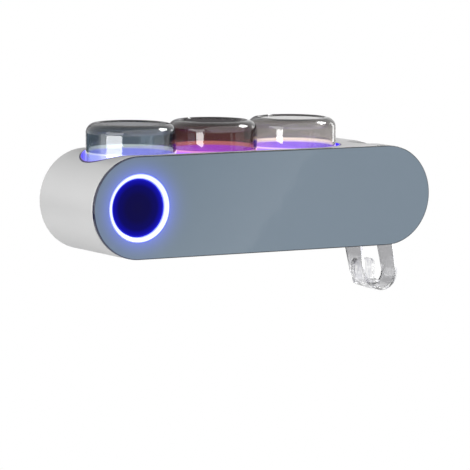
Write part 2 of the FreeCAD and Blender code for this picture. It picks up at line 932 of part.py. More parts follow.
def make_board_chips():
    # Two chips and a coil on the face of the main board.
    half = size("chip_size") / 2
    level = size("board_level")
    quarter = size("board_width") / 4
    members = []
    for side in (-1, 1):
        centre = quarter * side
        members.append(block(
            f"board_chip_{side + 1}", centre - half, centre + half, board_front,
            board_front + size("chip_thick"), level - half, level + half,
        ))
    tip = board_front + size("coil_height")
    coil = turned("board_coil", rectangle(as_size(0), board_front, size("coil_radius"), tip))
    face_forward(coil, as_size(0), level + size("coil_radius"))
    return group("board_chips", [*members, coil])


def make_battery_pack():
    # A flat rechargeable pack stuck to the inside of the rear cover.
    piece = new_body("battery_pack")
    left = size("battery_end_room") - half_length
    right = hook_places[0] - size("hook_width") / 2 - size("battery_hook_gap")
    half_tall = size("battery_height") / 2
    level = size("battery_level")
    outline = rounded(left, level - half_tall, right, level + half_tall, size("battery_corner"))
    pad(piece, "XZ_Plane", cover_front, cover_front + size("battery_thick"), outline)
    return piece


def make_charging_port():
    # The oval metal socket that faces down through the housing's floor.
    piece = new_body("charging_port")
    half = size("port_thick") / 2
    reach = size("port_width") / 2 - half
    low = -half_height + size("port_wall")
    high = low + size("port_length")
    pad(piece, "XY_Plane", low, high, stadium(-reach, reach, -port_standoff, half))
    bore = stadium(-reach, reach, -port_standoff, half - size("port_wall"))
    pocket(piece, "XY_Plane", low, high - size("port_wall"), bore)
    return piece


def make_front_panel():
    # The glossy face, as long and as tall as the housing, with the ring light's hole.
    piece = new_body("front_panel")
    outline = stadium(-arc_place, arc_place, 0, half_height)
    pad(piece, "XZ_Plane", panel_back, size("body_depth"), outline, Circle(ring_place, 0, ring_hole))
    soften(piece, "Fillet", size("panel_edge"), on_panel_rim)
    return piece


def on_panel_rim(point):
    # True on the outer edge of the panel's front face.
    across = max(abs(point.x) - arc_place.value, 0.0)
    outside = math.hypot(across, point.z) > half_height.value - 0.1
    return outside and abs(point.y + size("body_depth").value) < 0.01


def make_panel_carrier():
    # The plate behind the panel: it steps into the shell and carries the hinge eyes.
    piece = new_body("panel_carrier")
    outline = stadium(-arc_place, arc_place, 0, half_height - size("carrier_inset"))
    pad(piece, "XZ_Plane", carrier_back, panel_back, outline, Circle(ring_place, 0, ring_hole))
    half_eye = size("hinge_eye_width") / 2
    ear = size("hinge_ear_radius")
    arm_low = half_height - size("carrier_inset") - size("carrier_thick")
    for centre in hinge_places:
        arm = Outline([
            (-panel_back, hinge_level + ear),
            (-panel_back, arm_low),
            (-carrier_back, arm_low),
            (-carrier_back, hinge_level - ear),
            (-hinge_standoff, hinge_level - ear),
            (-hinge_standoff, hinge_level + ear, -hinge_standoff, hinge_level, 1),
        ])
        pad(piece, "YZ_Plane", centre - half_eye, centre + half_eye, arm)
        bore = Circle(-hinge_standoff, hinge_level, size("hinge_pin_radius") + fit_gap)
        pocket(piece, "YZ_Plane", centre - half_eye, centre + half_eye, bore)
    return piece


def make_hinge_pins():
    # The two steel pins in the shell's ears.
    reach = size("hinge_eye_width") / 2 + run_gap + size("hinge_ear_length")
    members = []
    for number, centre in enumerate(hinge_places):
        members.append(rod_across(
            f"hinge_pin_{number}", centre - reach, centre + reach, hinge_standoff, hinge_level,
            size("hinge_pin_radius"),
        ))
    return group("hinge_pins", members)


def make_ring_light():
    # A milky ring whose face slopes inwards from the panel's face down to the round lens.
    outer = size("ring_radius")
    lip = ring_inner + size("ring_lip")
    profile = Outline([
        (outer, ring_front - size("panel_edge")),
        (outer - size("panel_edge"), ring_front),
        (ring_inner, lens_front),
        (ring_inner, lens_front - size("ring_lip")),
        (lip, lens_front - size("ring_lip")),
        (lip, ring_back),
        (ring_flange_radius, ring_back),
        (ring_flange_radius, carrier_back),
        (outer, carrier_back),
    ])
    piece = turned("ring_light", profile)
    face_forward(piece, ring_place, as_size(0))
    return piece


def make_ring_lens():
    # The dark round lens inside the ring, seated behind the ring's lip.
    radius = ring_inner + size("ring_lip") - fit_gap
    front = lens_front - size("ring_lip")
    back = front - size("lens_thick")
    piece = turned("ring_lens", rectangle(as_size(0), back, radius, front))
    face_forward(piece, ring_place, as_size(0))
    return piece


def make_ring_board():
    # The round board behind the ring, with the movement sensor at its centre.
    profile = Outline([
        (as_size(0), ring_board_back),
        (ring_flange_radius, ring_board_back),
        (ring_flange_radius, ring_back),
        (size("sensor_radius"), ring_back),
        (size("sensor_radius"), ring_back + size("sensor_height")),
        (as_size(0), ring_back + size("sensor_height")),
    ])
    piece = turned("ring_board", profile)
    face_forward(piece, ring_place, as_size(0))
    return piece


def make_ring_cap():
    # The shallow cap that closes the ring light's back.
    inside = ring_flange_radius + fit_gap
    outside = inside + size("cap_wall")
    profile = Outline([
        (as_size(0), cap_back),
        (outside, cap_back),
        (outside, carrier_back),
        (inside, carrier_back),
        (inside, ring_board_back),
        (as_size(0), ring_board_back),
    ])
    piece = turned("ring_cap", profile)
    face_forward(piece, ring_place, as_size(0))
    return piece


def make_cover_magnets():
    half = size("magnet_width") / 2
    high = magnet_low + size("magnet_height")
    members = []
    for number, across in enumerate(magnet_places):
        members.append(block(
            f"cover_magnet_{number}", across - half, across + half, magnet_back, carrier_back,
            magnet_low, high,
        ))
    return group("cover_magnets", members)


def make_tube_socket(outer_form):
    # The round well that the paste tube stands in, head down, cut flush with the shoulder.
    piece = new_body("tube_socket_well")
    hole = Circle(tube_place, tube_line, seal_outer + fit_gap)
    pad(piece, "XY_Plane", well_under, beyond, Circle(tube_place, tube_line, well_outer), hole)
    well = Circle(tube_place, tube_line, size("well_radius"))
    pocket(piece, "XY_Plane", size("well_floor_level"), beyond, well)
    return trimmed("tube_socket", piece, outer_form)


def make_tube_seal():
    # The soft bush that grips the neck of the paste tube.
    bore = size("seal_bore")
    floor = size("well_floor_level")
    top = floor + size("seal_flange_thick")
    low = floor - size("seal_depth")
    profile = Outline([
        (bore, low),
        (seal_outer, low),
        (seal_outer, floor),
        (size("seal_flange"), floor),
        (size("seal_flange"), top),
        (bore, top),
    ])
    piece = turned("tube_seal", profile)
    place(piece, tube_place, tube_standoff, 0)
    return piece


def make_pump_body(inner_form):
    # The block between socket and nozzle: an upright duct, a cross bore for the plunger
    # and a foot that rests on the housing's floor in front of and behind the lever.
    piece = new_body("pump_body_block")
    tower = rectangle(pump_left, -pump_front, pump_right, -pump_rear)
    pad(piece, "XY_Plane", -half_height, well_under, tower)
    foot_front = opening_front + size("pump_foot")
    foot_back = opening_back - size("pump_foot")
    foot = rectangle(pump_left, -foot_front, pump_right, -foot_back)
    pad(piece, "XY_Plane", -half_height, size("pump_foot_thick") - inner_half, foot)
    seat_low = size("well_floor_level") - size("seal_depth")
    seat = Circle(tube_place, tube_line, seal_outer + fit_gap)
    pocket(piece, "XY_Plane", seat_low, well_under, seat)
    duct = Circle(tube_place, tube_line, size("pump_duct"))
    pocket(piece, "XY_Plane", -half_height, seat_low, duct)
    nozzle_seat = Circle(tube_place, tube_line, size("nozzle_radius") + fit_gap)
    pocket(piece, "XY_Plane", -half_height, size("nozzle_sink") - inner_half, nozzle_seat)
    cylinder = Circle(tube_place, plunger_level, plunger_bore)
    bore_end = tube_standoff + size("pump_duct")
    pocket(piece, "XZ_Plane", pump_rear, bore_end, cylinder)
    pin_hole = Circle(-pivot_standoff, pivot_level, size("pin_radius") + size("screw_slack"))
    pocket(piece, "YZ_Plane", pump_left, pump_right, pin_hole)
    return trimmed("pump_body", piece, inner_form)


def make_pump_nozzle():
    # The soft spout under the pump that the paste comes out of.
    high = size("nozzle_sink") - inner_half
    floor = -half_height
    tip = floor - size("nozzle_drop")
    bore = size("nozzle_bore")
    profile = Outline([
        (bore, tip),
        (size("nozzle_tip"), tip),
        (size("nozzle_radius"), floor),
        (size("nozzle_radius"), high),
        (bore, high),
    ])
    piece = turned("pump_nozzle", profile)
    place(piece, tube_place, tube_standoff, 0)
    return piece


def make_pump_plunger():
    # The piston that pushes paste, with a broad head for the lever's nose.
    rod = size("plunger_radius")
    groove = rod - size("plunger_ring_depth")
    tip = pump_rear + size("plunger_length")
    ring_front_face = tip - size("plunger_ring_width")
    ring_back_face = ring_front_face - size("plunger_ring_width")
    profile = Outline([
        (as_size(0), head_back),
        (size("plunger_head_radius"), head_back),
        (size("plunger_head_radius"), head_front),
        (rod, head_front),
        (rod, ring_back_face),
        (groove, ring_back_face),
        (groove, ring_front_face),
        (rod, ring_front_face),
        (rod, tip),
        (as_size(0), tip),
    ])
    piece = turned("pump_plunger", profile)
    face_forward(piece, tube_place, plunger_level)
    return piece


def make_plunger_ring():
    # The soft ring in the plunger's groove that wipes the bore.
    inner = size("plunger_radius") - size("plunger_ring_depth")
    outer = plunger_bore - size("screw_slack")
    tip = pump_rear + size("plunger_length")
    front = tip - size("plunger_ring_width")
    back = front - size("plunger_ring_width")
    piece = turned("plunger_ring", rectangle(inner, back, outer, front))
    face_forward(piece, tube_place, plunger_level)
    return piece


def make_return_sleeve():
    # The springy sleeve round the plunger that pushes the lever back.
    inner = size("plunger_radius") + run_gap
    outer = inner + size("sleeve_wall")
    piece = turned("return_sleeve", rectangle(inner, head_front, outer, pump_rear))
    face_forward(piece, tube_place, plunger_level)
    return piece


def make_lever_pin():
    return rod_across(
        "lever_pin", tube_place - lever_half, tube_place + lever_half, pivot_standoff, pivot_level,
        size("pin_radius"),
    )


def make_push_lever():
    # The clear stirrup, drawn about its pivot: a U-shaped band seen from the front, cut to its
    # leaning side view, a tongue across its back and a nose bar behind the plunger.
    parts = [make_lever_band(), make_lever_tongue(), make_lever_nose()]
    for part in parts:
        place(part, 0, 0, 0)
    piece = doc.addObject("Part::MultiFuse", "push_lever")
    piece.Shapes = parts
    piece.Label = "push_lever"
    place(piece, tube_place, pivot_standoff, pivot_level)
    return piece


def lever_back_at(level):
    # How far behind the pivot the band's rear edge lies at a level below it.
    return size("lever_back") + (exit_drop + level) * tangent(size("lever_back_lean"))


def lever_front_at(level):
    return -size("lever_front") + (exit_drop + level) * tangent(size("lever_front_lean"))


def make_lever_band():
    low = -size("lever_drop")
    bend = low + lever_half
    shoulder = -size("lever_shoulder")
    neck = size("lever_neck")
    half = size("crank_half")
    top = size("crank_rise") + half
    band = new_body("lever_band_front")
    stirrup = Outline([
        (lever_half, top),
        (lever_inner, top),
        (lever_inner, bend),
        (-lever_inner, bend, as_size(0), bend, -1),
        (-lever_inner, top),
        (-lever_half, top),
        (-lever_half, bend),
        (lever_half, bend, as_size(0), bend, 1),
    ])
    pad(band, "XZ_Plane", -size("body_depth"), size("body_depth"), stirrup)
    side = new_body("lever_band_side")
    profile = Outline([
        (lever_front_at(low), low),
        (lever_back_at(low), low),
        (lever_back_at(shoulder), shoulder),
        (neck, as_size(0)),
        (nose_behind + half, size("crank_rise") - half),
        (nose_behind + half, top),
        (nose_behind - half, top),
        (-half, neck),
        (-neck, as_size(0)),
        (lever_front_at(shoulder), shoulder),
    ])
    bore = Circle(0, 0, size("pin_radius") + fit_gap)
    pad(side, "YZ_Plane", -lever_half, lever_half, profile, bore)
    return trimmed("lever_band", band, side)


def make_lever_tongue():
    # The thick upright pad that the brush presses, round at its top, behind the band.
    # Its heel curves forwards into the bottom of the bend.
    low = -size("lever_drop")
    bend = low + lever_half
    half = lever_inner - size("tongue_side_gap")
    corner = size("tongue_corner")
    top = low + size("tongue_height")
    under = lever_half - size("tongue_inset")
    root = bend - square_root(under * under - half * half)
    plate = new_body("lever_tongue_front")
    tongue = Outline([
        (half, top - corner),
        (half - corner, top, half - corner, top - corner, 1),
        (corner - half, top),
        (-half, top - corner, corner - half, top - corner, 1),
        (-half, root),
        (half, root, as_size(0), bend, 1),
    ])
    pad(plate, "XZ_Plane", -size("body_depth"), size("body_depth"), tongue)
    thick = size("tongue_thick")
    rear = size("tongue_behind")
    front = rear - thick
    heel = low + size("tongue_heel")
    turn = rear - size("tongue_heel")
    toe = lever_back_at(low) - size("tongue_bite")
    side = new_body("lever_tongue_side")
    profile = Outline([
        (rear, top),
        (front, top),
        (front, heel),
        (turn, low + thick, turn, heel, -1),
        (toe, low + thick),
        (toe, low),
        (turn, low),
        (rear, heel, turn, heel, 1),
    ])
    pad(side, "YZ_Plane", -lever_half, lever_half, profile)
    return trimmed("lever_tongue", plate, side)


def make_lever_nose():
    nose = new_body("lever_nose")
    bar = Circle(nose_behind, size("crank_rise"), size("nose_radius"))
    pad(nose, "YZ_Plane", -lever_half, lever_half, bar)
    return nose


def build_pieces():
    outer_form = prism("outer_form", as_size(0), 0, size("body_depth"))
    inner_form = prism("inner_form", size("shell_wall") + fit_gap, 0, size("body_depth"))
    cup_names = ("cup_left", "cup_middle", "cup_right")
    cups = [make_cup(name, across) for name, across in zip(cup_names, cup_places)]
    return [
        make_wall_bracket(),
        make_body_shell(),
        make_rear_cover(),
        make_rear_screws(),
        make_cup_tray(outer_form),
        make_cup_windows(),
        make_cup_lamps(),
        *cups,
        make_brush_rack(),
        make_catch_plates(),
        make_chamber_liner(inner_form),
        make_lamp_strip(),
        make_brush_lamps(),
        make_divider_wall(),
        make_main_board(),
        make_board_chips(),
        make_battery_pack(),
        make_charging_port(),
        make_front_panel(),
        make_panel_carrier(),
        make_hinge_pins(),
        make_ring_light(),
        make_ring_lens(),
        make_ring_board(),
        make_ring_cap(),
        make_cover_magnets(),
        make_tube_socket(outer_form),
        make_tube_seal(),
        make_pump_body(inner_form),
        make_pump_nozzle(),
        make_pump_plunger(),
        make_plunger_ring(),
        make_return_sleeve(),
        make_lever_pin(),
        make_push_lever(),
    ]


def check_pieces(pieces):
    # Stops before anything is written if an object failed or a piece has no sound shape.
    for thing in doc.Objects:
        if "Invalid" in thing.State or "Error" in thing.State:
            raise RuntimeError(f"{thing.Label} did not build: {thing.State}")
    for piece in pieces:
        if piece.Shape.isNull() or not piece.Shape.isValid() or not piece.Shape.Solids:
            raise RuntimeError(f"{piece.Label} has no sound shape")


def write_pieces(pieces):
    os.makedirs("parts", exist_ok=True)
    for piece in pieces:
        piece.Shape.exportStep(f"parts/{piece.Label}.step")
        print(f"{piece.Label}: {len(piece.Shape.Solids)} solids, {piece.Shape.Volume / 1000:.2f} cm3")


all_pieces = build_pieces()
doc.recompute()
check_pieces(all_pieces)
write_pieces(all_pieces)
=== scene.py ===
import bmesh
import bpy
import math
from mathutils import Matrix, Vector


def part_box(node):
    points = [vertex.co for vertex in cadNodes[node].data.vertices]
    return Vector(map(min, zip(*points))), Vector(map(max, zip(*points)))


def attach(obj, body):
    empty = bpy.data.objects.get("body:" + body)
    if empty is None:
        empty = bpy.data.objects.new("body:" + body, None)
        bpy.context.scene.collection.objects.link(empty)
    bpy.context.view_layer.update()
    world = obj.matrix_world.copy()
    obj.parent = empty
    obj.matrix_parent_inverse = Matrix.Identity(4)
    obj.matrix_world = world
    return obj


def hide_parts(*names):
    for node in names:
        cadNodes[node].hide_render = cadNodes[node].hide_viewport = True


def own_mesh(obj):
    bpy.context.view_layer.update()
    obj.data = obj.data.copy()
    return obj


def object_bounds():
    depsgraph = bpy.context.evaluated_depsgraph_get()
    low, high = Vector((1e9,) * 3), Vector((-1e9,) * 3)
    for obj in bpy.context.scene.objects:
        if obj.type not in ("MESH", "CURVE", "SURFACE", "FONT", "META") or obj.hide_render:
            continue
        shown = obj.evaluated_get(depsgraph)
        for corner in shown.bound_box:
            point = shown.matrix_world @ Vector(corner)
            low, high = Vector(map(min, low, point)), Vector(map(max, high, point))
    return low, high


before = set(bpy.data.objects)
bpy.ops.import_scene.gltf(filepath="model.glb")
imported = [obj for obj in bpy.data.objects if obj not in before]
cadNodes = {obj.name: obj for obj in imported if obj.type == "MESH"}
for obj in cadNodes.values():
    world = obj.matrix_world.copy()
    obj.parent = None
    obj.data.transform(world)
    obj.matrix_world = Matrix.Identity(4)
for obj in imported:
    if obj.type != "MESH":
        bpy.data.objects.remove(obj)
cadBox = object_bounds()
objectCentre = (cadBox[0] + cadBox[1]) / 2
mm = 0.001
# The sockets of a colour mix share their names, so they go by number
firstColour, secondColour, mixedColour = 6, 7, 2
print("frame loaded:", len(cadNodes), "nodes")


def putInScene(thing):
    bpy.context.scene.collection.objects.link(thing)
    return thing


def flatSheet(name, corners):
    mesh = bpy.data.meshes.new(name)
    mesh.from_pydata(corners, [], [(0, 1, 2, 3)])
    return putInScene(bpy.data.objects.new(name, mesh))


# An sRGB code as linear colour
def hexToLinear(code):
    channels = [int(code[i:i + 2], 16) / 255 for i in (1, 3, 5)]
    return tuple(c / 12.92 if c <= 0.04045 else ((c + 0.055) / 1.055) ** 2.4 for c in channels) + (1.0,)


white = hexToLinear("#ffffff")


def addNode(tree, kind, settings=None, links=None):
    node = tree.nodes.new(kind)
    for key, value in (settings or {}).items():
        if isinstance(key, str) and hasattr(node, key):
            setattr(node, key, value)
        else:
            node.inputs[key].default_value = value
    for key, source in (links or {}).items():
        tree.links.new(source, node.inputs[key])
    return node


def startMaterial(name):
    material = bpy.data.materials.new(name)
    material.use_nodes = True
    material.node_tree.nodes.clear()
    return material, material.node_tree


def finishMaterial(tree, shader, volume=None):
    links = {"Surface": shader.outputs[0]}
    if volume:
        links["Volume"] = volume.outputs[0]
    addNode(tree, "ShaderNodeOutputMaterial", {}, links)


def perMm(size):
    return 1000.0 / size  # pattern scale for a repeat of that many millimetres


def dress(material, *names):
    for name in names:
        for slot in cadNodes[name].material_slots:
            slot.material = material


edgeSamples = 4
grainDetail = 3.0
grainHeight = 0.2  # height of a grain as a share of its width
cloudDetail = 2.0
metalIor = 1.5  # the default, which metals keep


# Grain in height and gloss from one noise. Below it the edges are softened over edgeMm, so that they catch
# the light as moulded or rolled edges do.
def grainOf(tree, look, place):
    edges = addNode(tree, "ShaderNodeBevel", {"samples": edgeSamples, "Radius": look["edgeMm"] * mm})
    grain = addNode(tree, "ShaderNodeTexNoise",
                    {"Scale": perMm(look["grainMm"]), "Detail": grainDetail}, {"Vector": place})
    gloss = addNode(tree, "ShaderNodeMapRange",
                    {"To Min": look["roughness"] - look["glossSpread"],
                     "To Max": look["roughness"] + look["glossSpread"]},
                    {"Value": grain.outputs["Fac"]})
    relief = addNode(tree, "ShaderNodeBump",
                     {"Strength": look["relief"], "Distance": look["grainMm"] * mm * grainHeight},
                     {"Height": grain.outputs["Fac"], "Normal": edges.outputs["Normal"]})
    return gloss.outputs["Result"], relief.outputs["Normal"]


def cloudsOf(tree, look, place):
    clouds = addNode(tree, "ShaderNodeTexNoise",
                     {"Scale": perMm(look["cloudMm"]), "Detail": cloudDetail}, {"Vector": place})
    tone = addNode(tree, "ShaderNodeMix",
                   {"data_type": "RGBA", firstColour: hexToLinear(look["colour"]),
                    secondColour: hexToLinear(look["shade"])},
                   {"Factor": clouds.outputs["Fac"]})
    return tone.outputs[mixedColour]


# A row of colours along a share from 0 to 1
def fillRamp(ramp, stops):
    ramp.interpolation = "EASE"
    while len(ramp.elements) < len(stops):
        ramp.elements.new(0.5)  # its place follows below
    for element, (stop, code) in zip(ramp.elements, stops):
        element.position = stop
        element.color = hexToLinear(code)


# Moulded, rolled and ground surfaces: soft clouds of tone, a fine grain in gloss and height.
# The stretch draws the grain out along one axis, for brushed and ground metal. Most real grain is finer
# than grainMm, which is drawn as coarse as it needs to show.
def grainedSurface(look):
    material, tree = startMaterial(look["name"])
    place = addNode(tree, "ShaderNodeTexCoord").outputs["Object"]
    drawn = addNode(tree, "ShaderNodeVectorMath",
                    {"operation": "MULTIPLY", 1: look.get("stretch", (1.0, 1.0, 1.0))}, {0: place})
    gloss, normal = grainOf(tree, look, drawn.outputs["Vector"])
    shader = addNode(tree, "ShaderNodeBsdfPrincipled",
                     {"Metallic": look.get("metallic", 0.0), "IOR": look.get("ior", metalIor)},
                     {"Base Color": cloudsOf(tree, look, place), "Roughness": gloss, "Normal": normal})
    finishMaterial(tree, shader)
    return material


# Distance from the long middle line of a round-ended piece, and its end radius, in metres;
# across is 1 for Y and 2 for Z
def distanceFromSpine(tree, name, across):
    low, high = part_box(name)
    half = (high - low) / 2
    beyond = 1.0  # farther than the piece reaches, so the third axis counts for nothing
    inset = [half.x - half[across], beyond, beyond]
    inset[across] = 0.0
    place = addNode(tree, "ShaderNodeTexCoord").outputs["Object"]
    away = addNode(tree, "ShaderNodeVectorMath", {"operation": "SUBTRACT", 1: (low + high) / 2}, {0: place})
    folded = addNode(tree, "ShaderNodeVectorMath", {"operation": "ABSOLUTE"}, {0: away.outputs["Vector"]})
    past = addNode(tree, "ShaderNodeVectorMath", {"operation": "SUBTRACT", 1: inset},
                   {0: folded.outputs["Vector"]})
    kept = addNode(tree, "ShaderNodeVectorMath", {"operation": "MAXIMUM", 1: (0.0, 0.0, 0.0)},
                   {0: past.outputs["Vector"]})
    reach = addNode(tree, "ShaderNodeVectorMath", {"operation": "LENGTH"}, {0: kept.outputs["Vector"]})
    return reach.outputs["Value"], half[across]


# Radii and centre of the ring light, for the shades on it and the glow round it
ring = {
    "outerMm": 26.7,
    "innerMm": 22.7,
    "centre": (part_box("ring_lens")[0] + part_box("ring_lens")[1]) / 2,
    "inPlane": (1.0, 0.0, 1.0),
}


# Distance from the ring's centre in the plane of the panel, in metres
def distanceFromRing(tree):
    place = addNode(tree, "ShaderNodeTexCoord").outputs["Object"]
    away = addNode(tree, "ShaderNodeVectorMath", {"operation": "SUBTRACT", 1: ring["centre"]}, {0: place})
    flat = addNode(tree, "ShaderNodeVectorMath", {"operation": "MULTIPLY", 1: ring["inPlane"]},
                   {0: away.outputs["Vector"]})
    length = addNode(tree, "ShaderNodeVectorMath", {"operation": "LENGTH"}, {0: flat.outputs["Vector"]})
    return length.outputs["Value"]


# Front panel: acrylic sheet, polished, so it mirrors a card's edge and takes the ring's blue spill as a
# painted glow.
# Its rim is darkened over the last millimetre: painted shade of the gap and edge round the panel.
panel = {
    "name": "acrylicSheetPolished",
    "colour": "#7a8a98",
    "shade": "#778795",
    # colour of the painted shade along the rim
    "rim": "#15181c",
    "rimMm": 1.0,
    "rimSharpness": 0.4,  # share of the rim that is fully dark
    "roughness": 0.016,
    "glossSpread": 0.008,
    "grainMm": 18.0,  # slow waviness of a sheet
    "relief": 0.012,
    "edgeMm": 0.3,
    "ior": 1.49,
    "cloudMm": 60.0,
    "haloColour": "#3a46ff",
    "haloReachMm": 30.0,
    "haloFade": 4.5,
    "haloStrength": 0.42,
}


def acrylicPanel(look):
    material, tree = startMaterial(look["name"])
    place = addNode(tree, "ShaderNodeTexCoord").outputs["Object"]
    gloss, normal = grainOf(tree, look, place)
    reach, radius = distanceFromSpine(tree, "front_panel", 2)
    # Painted shade: the face darkens towards its rim
    clearOfRimShade = addNode(tree, "ShaderNodeMapRange",
                    {"From Min": radius - look["rimSharpness"] * look["rimMm"] * mm,
                     "From Max": radius - look["rimMm"] * mm},
                    {"Value": reach})
    tone = addNode(tree, "ShaderNodeMix", {"data_type": "RGBA", firstColour: hexToLinear(look["rim"])},
                   {"Factor": clearOfRimShade.outputs["Result"], secondColour: cloudsOf(tree, look, place)})
    # Painted glow of the ring's blue spill, fading outward
    spill = addNode(tree, "ShaderNodeMapRange",
                    {"From Min": ring["outerMm"] * mm,
                     "From Max": (ring["outerMm"] + look["haloReachMm"]) * mm, "To Min": 1.0, "To Max": 0.0},
                    {"Value": distanceFromRing(tree)})
    fade = addNode(tree, "ShaderNodeMath", {"operation": "POWER", 1: look["haloFade"]},
                   {0: spill.outputs["Result"]})
    glow = addNode(tree, "ShaderNodeMath", {"operation": "MULTIPLY", 1: look["haloStrength"]},
                   {0: fade.outputs["Value"]})
    shader = addNode(tree, "ShaderNodeBsdfPrincipled",
                     {"IOR": look["ior"], "Emission Color": hexToLinear(look["haloColour"])},
                     {"Base Color": tone.outputs[mixedColour], "Roughness": gloss, "Normal": normal,
                      "Emission Strength": glow.outputs["Value"]})
    finishMaterial(tree, shader)
    return material


dress(acrylicPanel(panel), "front_panel")
print("panel done")

# Ring: milky acrylic, moulded, lit from behind: white core with a blue fringe at both edges
ringLight = {
    "name": "acrylicDiffuserMoulded",
    "colour": "#8e95ad",
    "shade": "#868da8",
    "core": "#eaf6ff",
    "fringe": "#3a4cff",
    "fringeMm": 1.2,
    "strength": 1.05,
    "cloudMm": 9.0,
    "grainMm": 0.5,
    "roughness": 0.35,
    "glossSpread": 0.05,
    "relief": 0.04,
    "edgeMm": 0.2,
}


def milkyRing(look):
    material, tree = startMaterial(look["name"])
    place = addNode(tree, "ShaderNodeTexCoord").outputs["Object"]
    gloss, normal = grainOf(tree, look, place)
    radius = distanceFromRing(tree)
    inside = addNode(tree, "ShaderNodeMapRange",
                     {"From Min": ring["innerMm"] * mm,
                      "From Max": (ring["innerMm"] + look["fringeMm"]) * mm},
                     {"Value": radius})
    outside = addNode(tree, "ShaderNodeMapRange",
                      {"From Min": ring["outerMm"] * mm,
                       "From Max": (ring["outerMm"] - look["fringeMm"]) * mm},
                      {"Value": radius})
    core = addNode(tree, "ShaderNodeMath", {"operation": "MINIMUM"},
                   {0: inside.outputs["Result"], 1: outside.outputs["Result"]})
    colour = addNode(tree, "ShaderNodeMix",
                     {"data_type": "RGBA", firstColour: hexToLinear(look["fringe"]),
                      secondColour: hexToLinear(look["core"])},
                     {"Factor": core.outputs["Value"]})
    shader = addNode(tree, "ShaderNodeBsdfPrincipled", {"Emission Strength": look["strength"]},
                     {"Base Color": cloudsOf(tree, look, place), "Roughness": gloss, "Normal": normal,
                      "Emission Color": colour.outputs[mixedColour]})
    finishMaterial(tree, shader)
    return material


dress(milkyRing(ringLight), "ring_light")

# Lens: tinted acrylic, polished: navy in the middle and glowing blue towards the ring
lens = {
    "name": "acrylicLensTinted",
    "body": "#03030c",
    "stops": ((0.0, "#120f44"), (0.4, "#100d48"), (0.72, "#0e0c60"), (0.92, "#1210a0"), (1.0, "#2a2ce6")),
    "strength": 1.0,
    "ior": 1.49,
    "specular": 0.02,
    "grainMm": 14.0,
    "roughness": 0.10,
    "glossSpread": 0.02,
    "relief": 0.01,
    "edgeMm": 0.2,
}


def tintedLens(look):
    material, tree = startMaterial(look["name"])
    place = addNode(tree, "ShaderNodeTexCoord").outputs["Object"]
    gloss, normal = grainOf(tree, look, place)
    share = addNode(tree, "ShaderNodeMapRange", {"From Min": 0.0, "From Max": ring["innerMm"] * mm},
                    {"Value": distanceFromRing(tree)})
    glow = addNode(tree, "ShaderNodeValToRGB", {}, {"Fac": share.outputs["Result"]})
    fillRamp(glow.color_ramp, look["stops"])
    shader = addNode(tree, "ShaderNodeBsdfPrincipled",
                     {"Base Color": hexToLinear(look["body"]), "IOR": look["ior"],
                      "Specular IOR Level": look["specular"], "Emission Strength": look["strength"]},
                     {"Emission Color": glow.outputs["Color"], "Roughness": gloss, "Normal": normal})
    finishMaterial(tree, shader)
    return material


dress(tintedLens(lens), "ring_lens")
print("ring light done")

# Housing: ABS, moulded with a fine satin texture, soft broad highlights
shell = {
    "name": "absSatinMoulded",
    "colour": "#c4c4c4",
    "shade": "#bfbfbf",
    "roughness": 0.42,
    "glossSpread": 0.06,
    "cloudMm": 70.0,
    "grainMm": 0.6,
    "relief": 0.05,
    "edgeMm": 0.5,
    "ior": 1.53,
}
dress(grainedSurface(shell), "body_shell", "tube_socket")

# Rear cover: ABS, moulded with a coarser matt grain
rearCover = {"name": "absGrainedMoulded", "colour": "#c6c7c9", "shade": "#bfc0c2", "roughness": 0.58,
             "glossSpread": 0.08, "cloudMm": 50.0, "grainMm": 1.0, "relief": 0.18, "edgeMm": 0.4, "ior": 1.53}
dress(grainedSurface(rearCover), "rear_cover")

# Rack and divider: polypropylene, moulded, waxy and even
rack = {"name": "polypropyleneMoulded", "colour": "#d6d6da", "shade": "#cfcfd4", "roughness": 0.48,
        "glossSpread": 0.05, "cloudMm": 30.0, "grainMm": 0.8, "relief": 0.06, "edgeMm": 0.4, "ior": 1.49}
dress(grainedSurface(rack), "brush_rack", "divider_wall")

# Cup tray: ABS, moulded, with the light of the lamps below painted on as a glow: blue at the ends and violet
# between
tray = {
    "name": "absTrayLit",
    "colour": "#8482a4",
    "shade": "#7c7a9e",
    "stops": ((0.0, "#1a0cd8"), (0.045, "#2c1ef0"), (0.1, "#6a60ff"), (0.18, "#8a84ff"), (0.34, "#9a60ff"),
              (0.5, "#b04cff"), (0.66, "#a050ff"), (0.82, "#9468ff"), (0.95, "#7a50ff"), (1.0, "#2414ff")),
    # colour of the painted glow on the rim's top face
    "rimGlow": "#6a58a0",
    "rimAboveMm": 20.0,
    "rimFacing": 0.5,
    "underFacing": -0.5,
    "endShade": "#16123c",  # the far ends lie in shadow and show the blue alone
    "middle": 0.5,  # these three are shares of the length
    "endStart": 0.445,
    "endFull": 0.465,
    "specular": 0.08,
    "strength": 1.3,
    # faint painted glow on the rest of the tray
    "seepage": 0.12,
    "wallMm": 1.5,
    "leftMm": -137.0,
    "rightMm": 91.0,
    "cloudMm": 25.0,
    "grainMm": 0.7,
    "roughness": 0.4,
    "glossSpread": 0.05,
    "relief": 0.05,
    "edgeMm": 0.4,
}


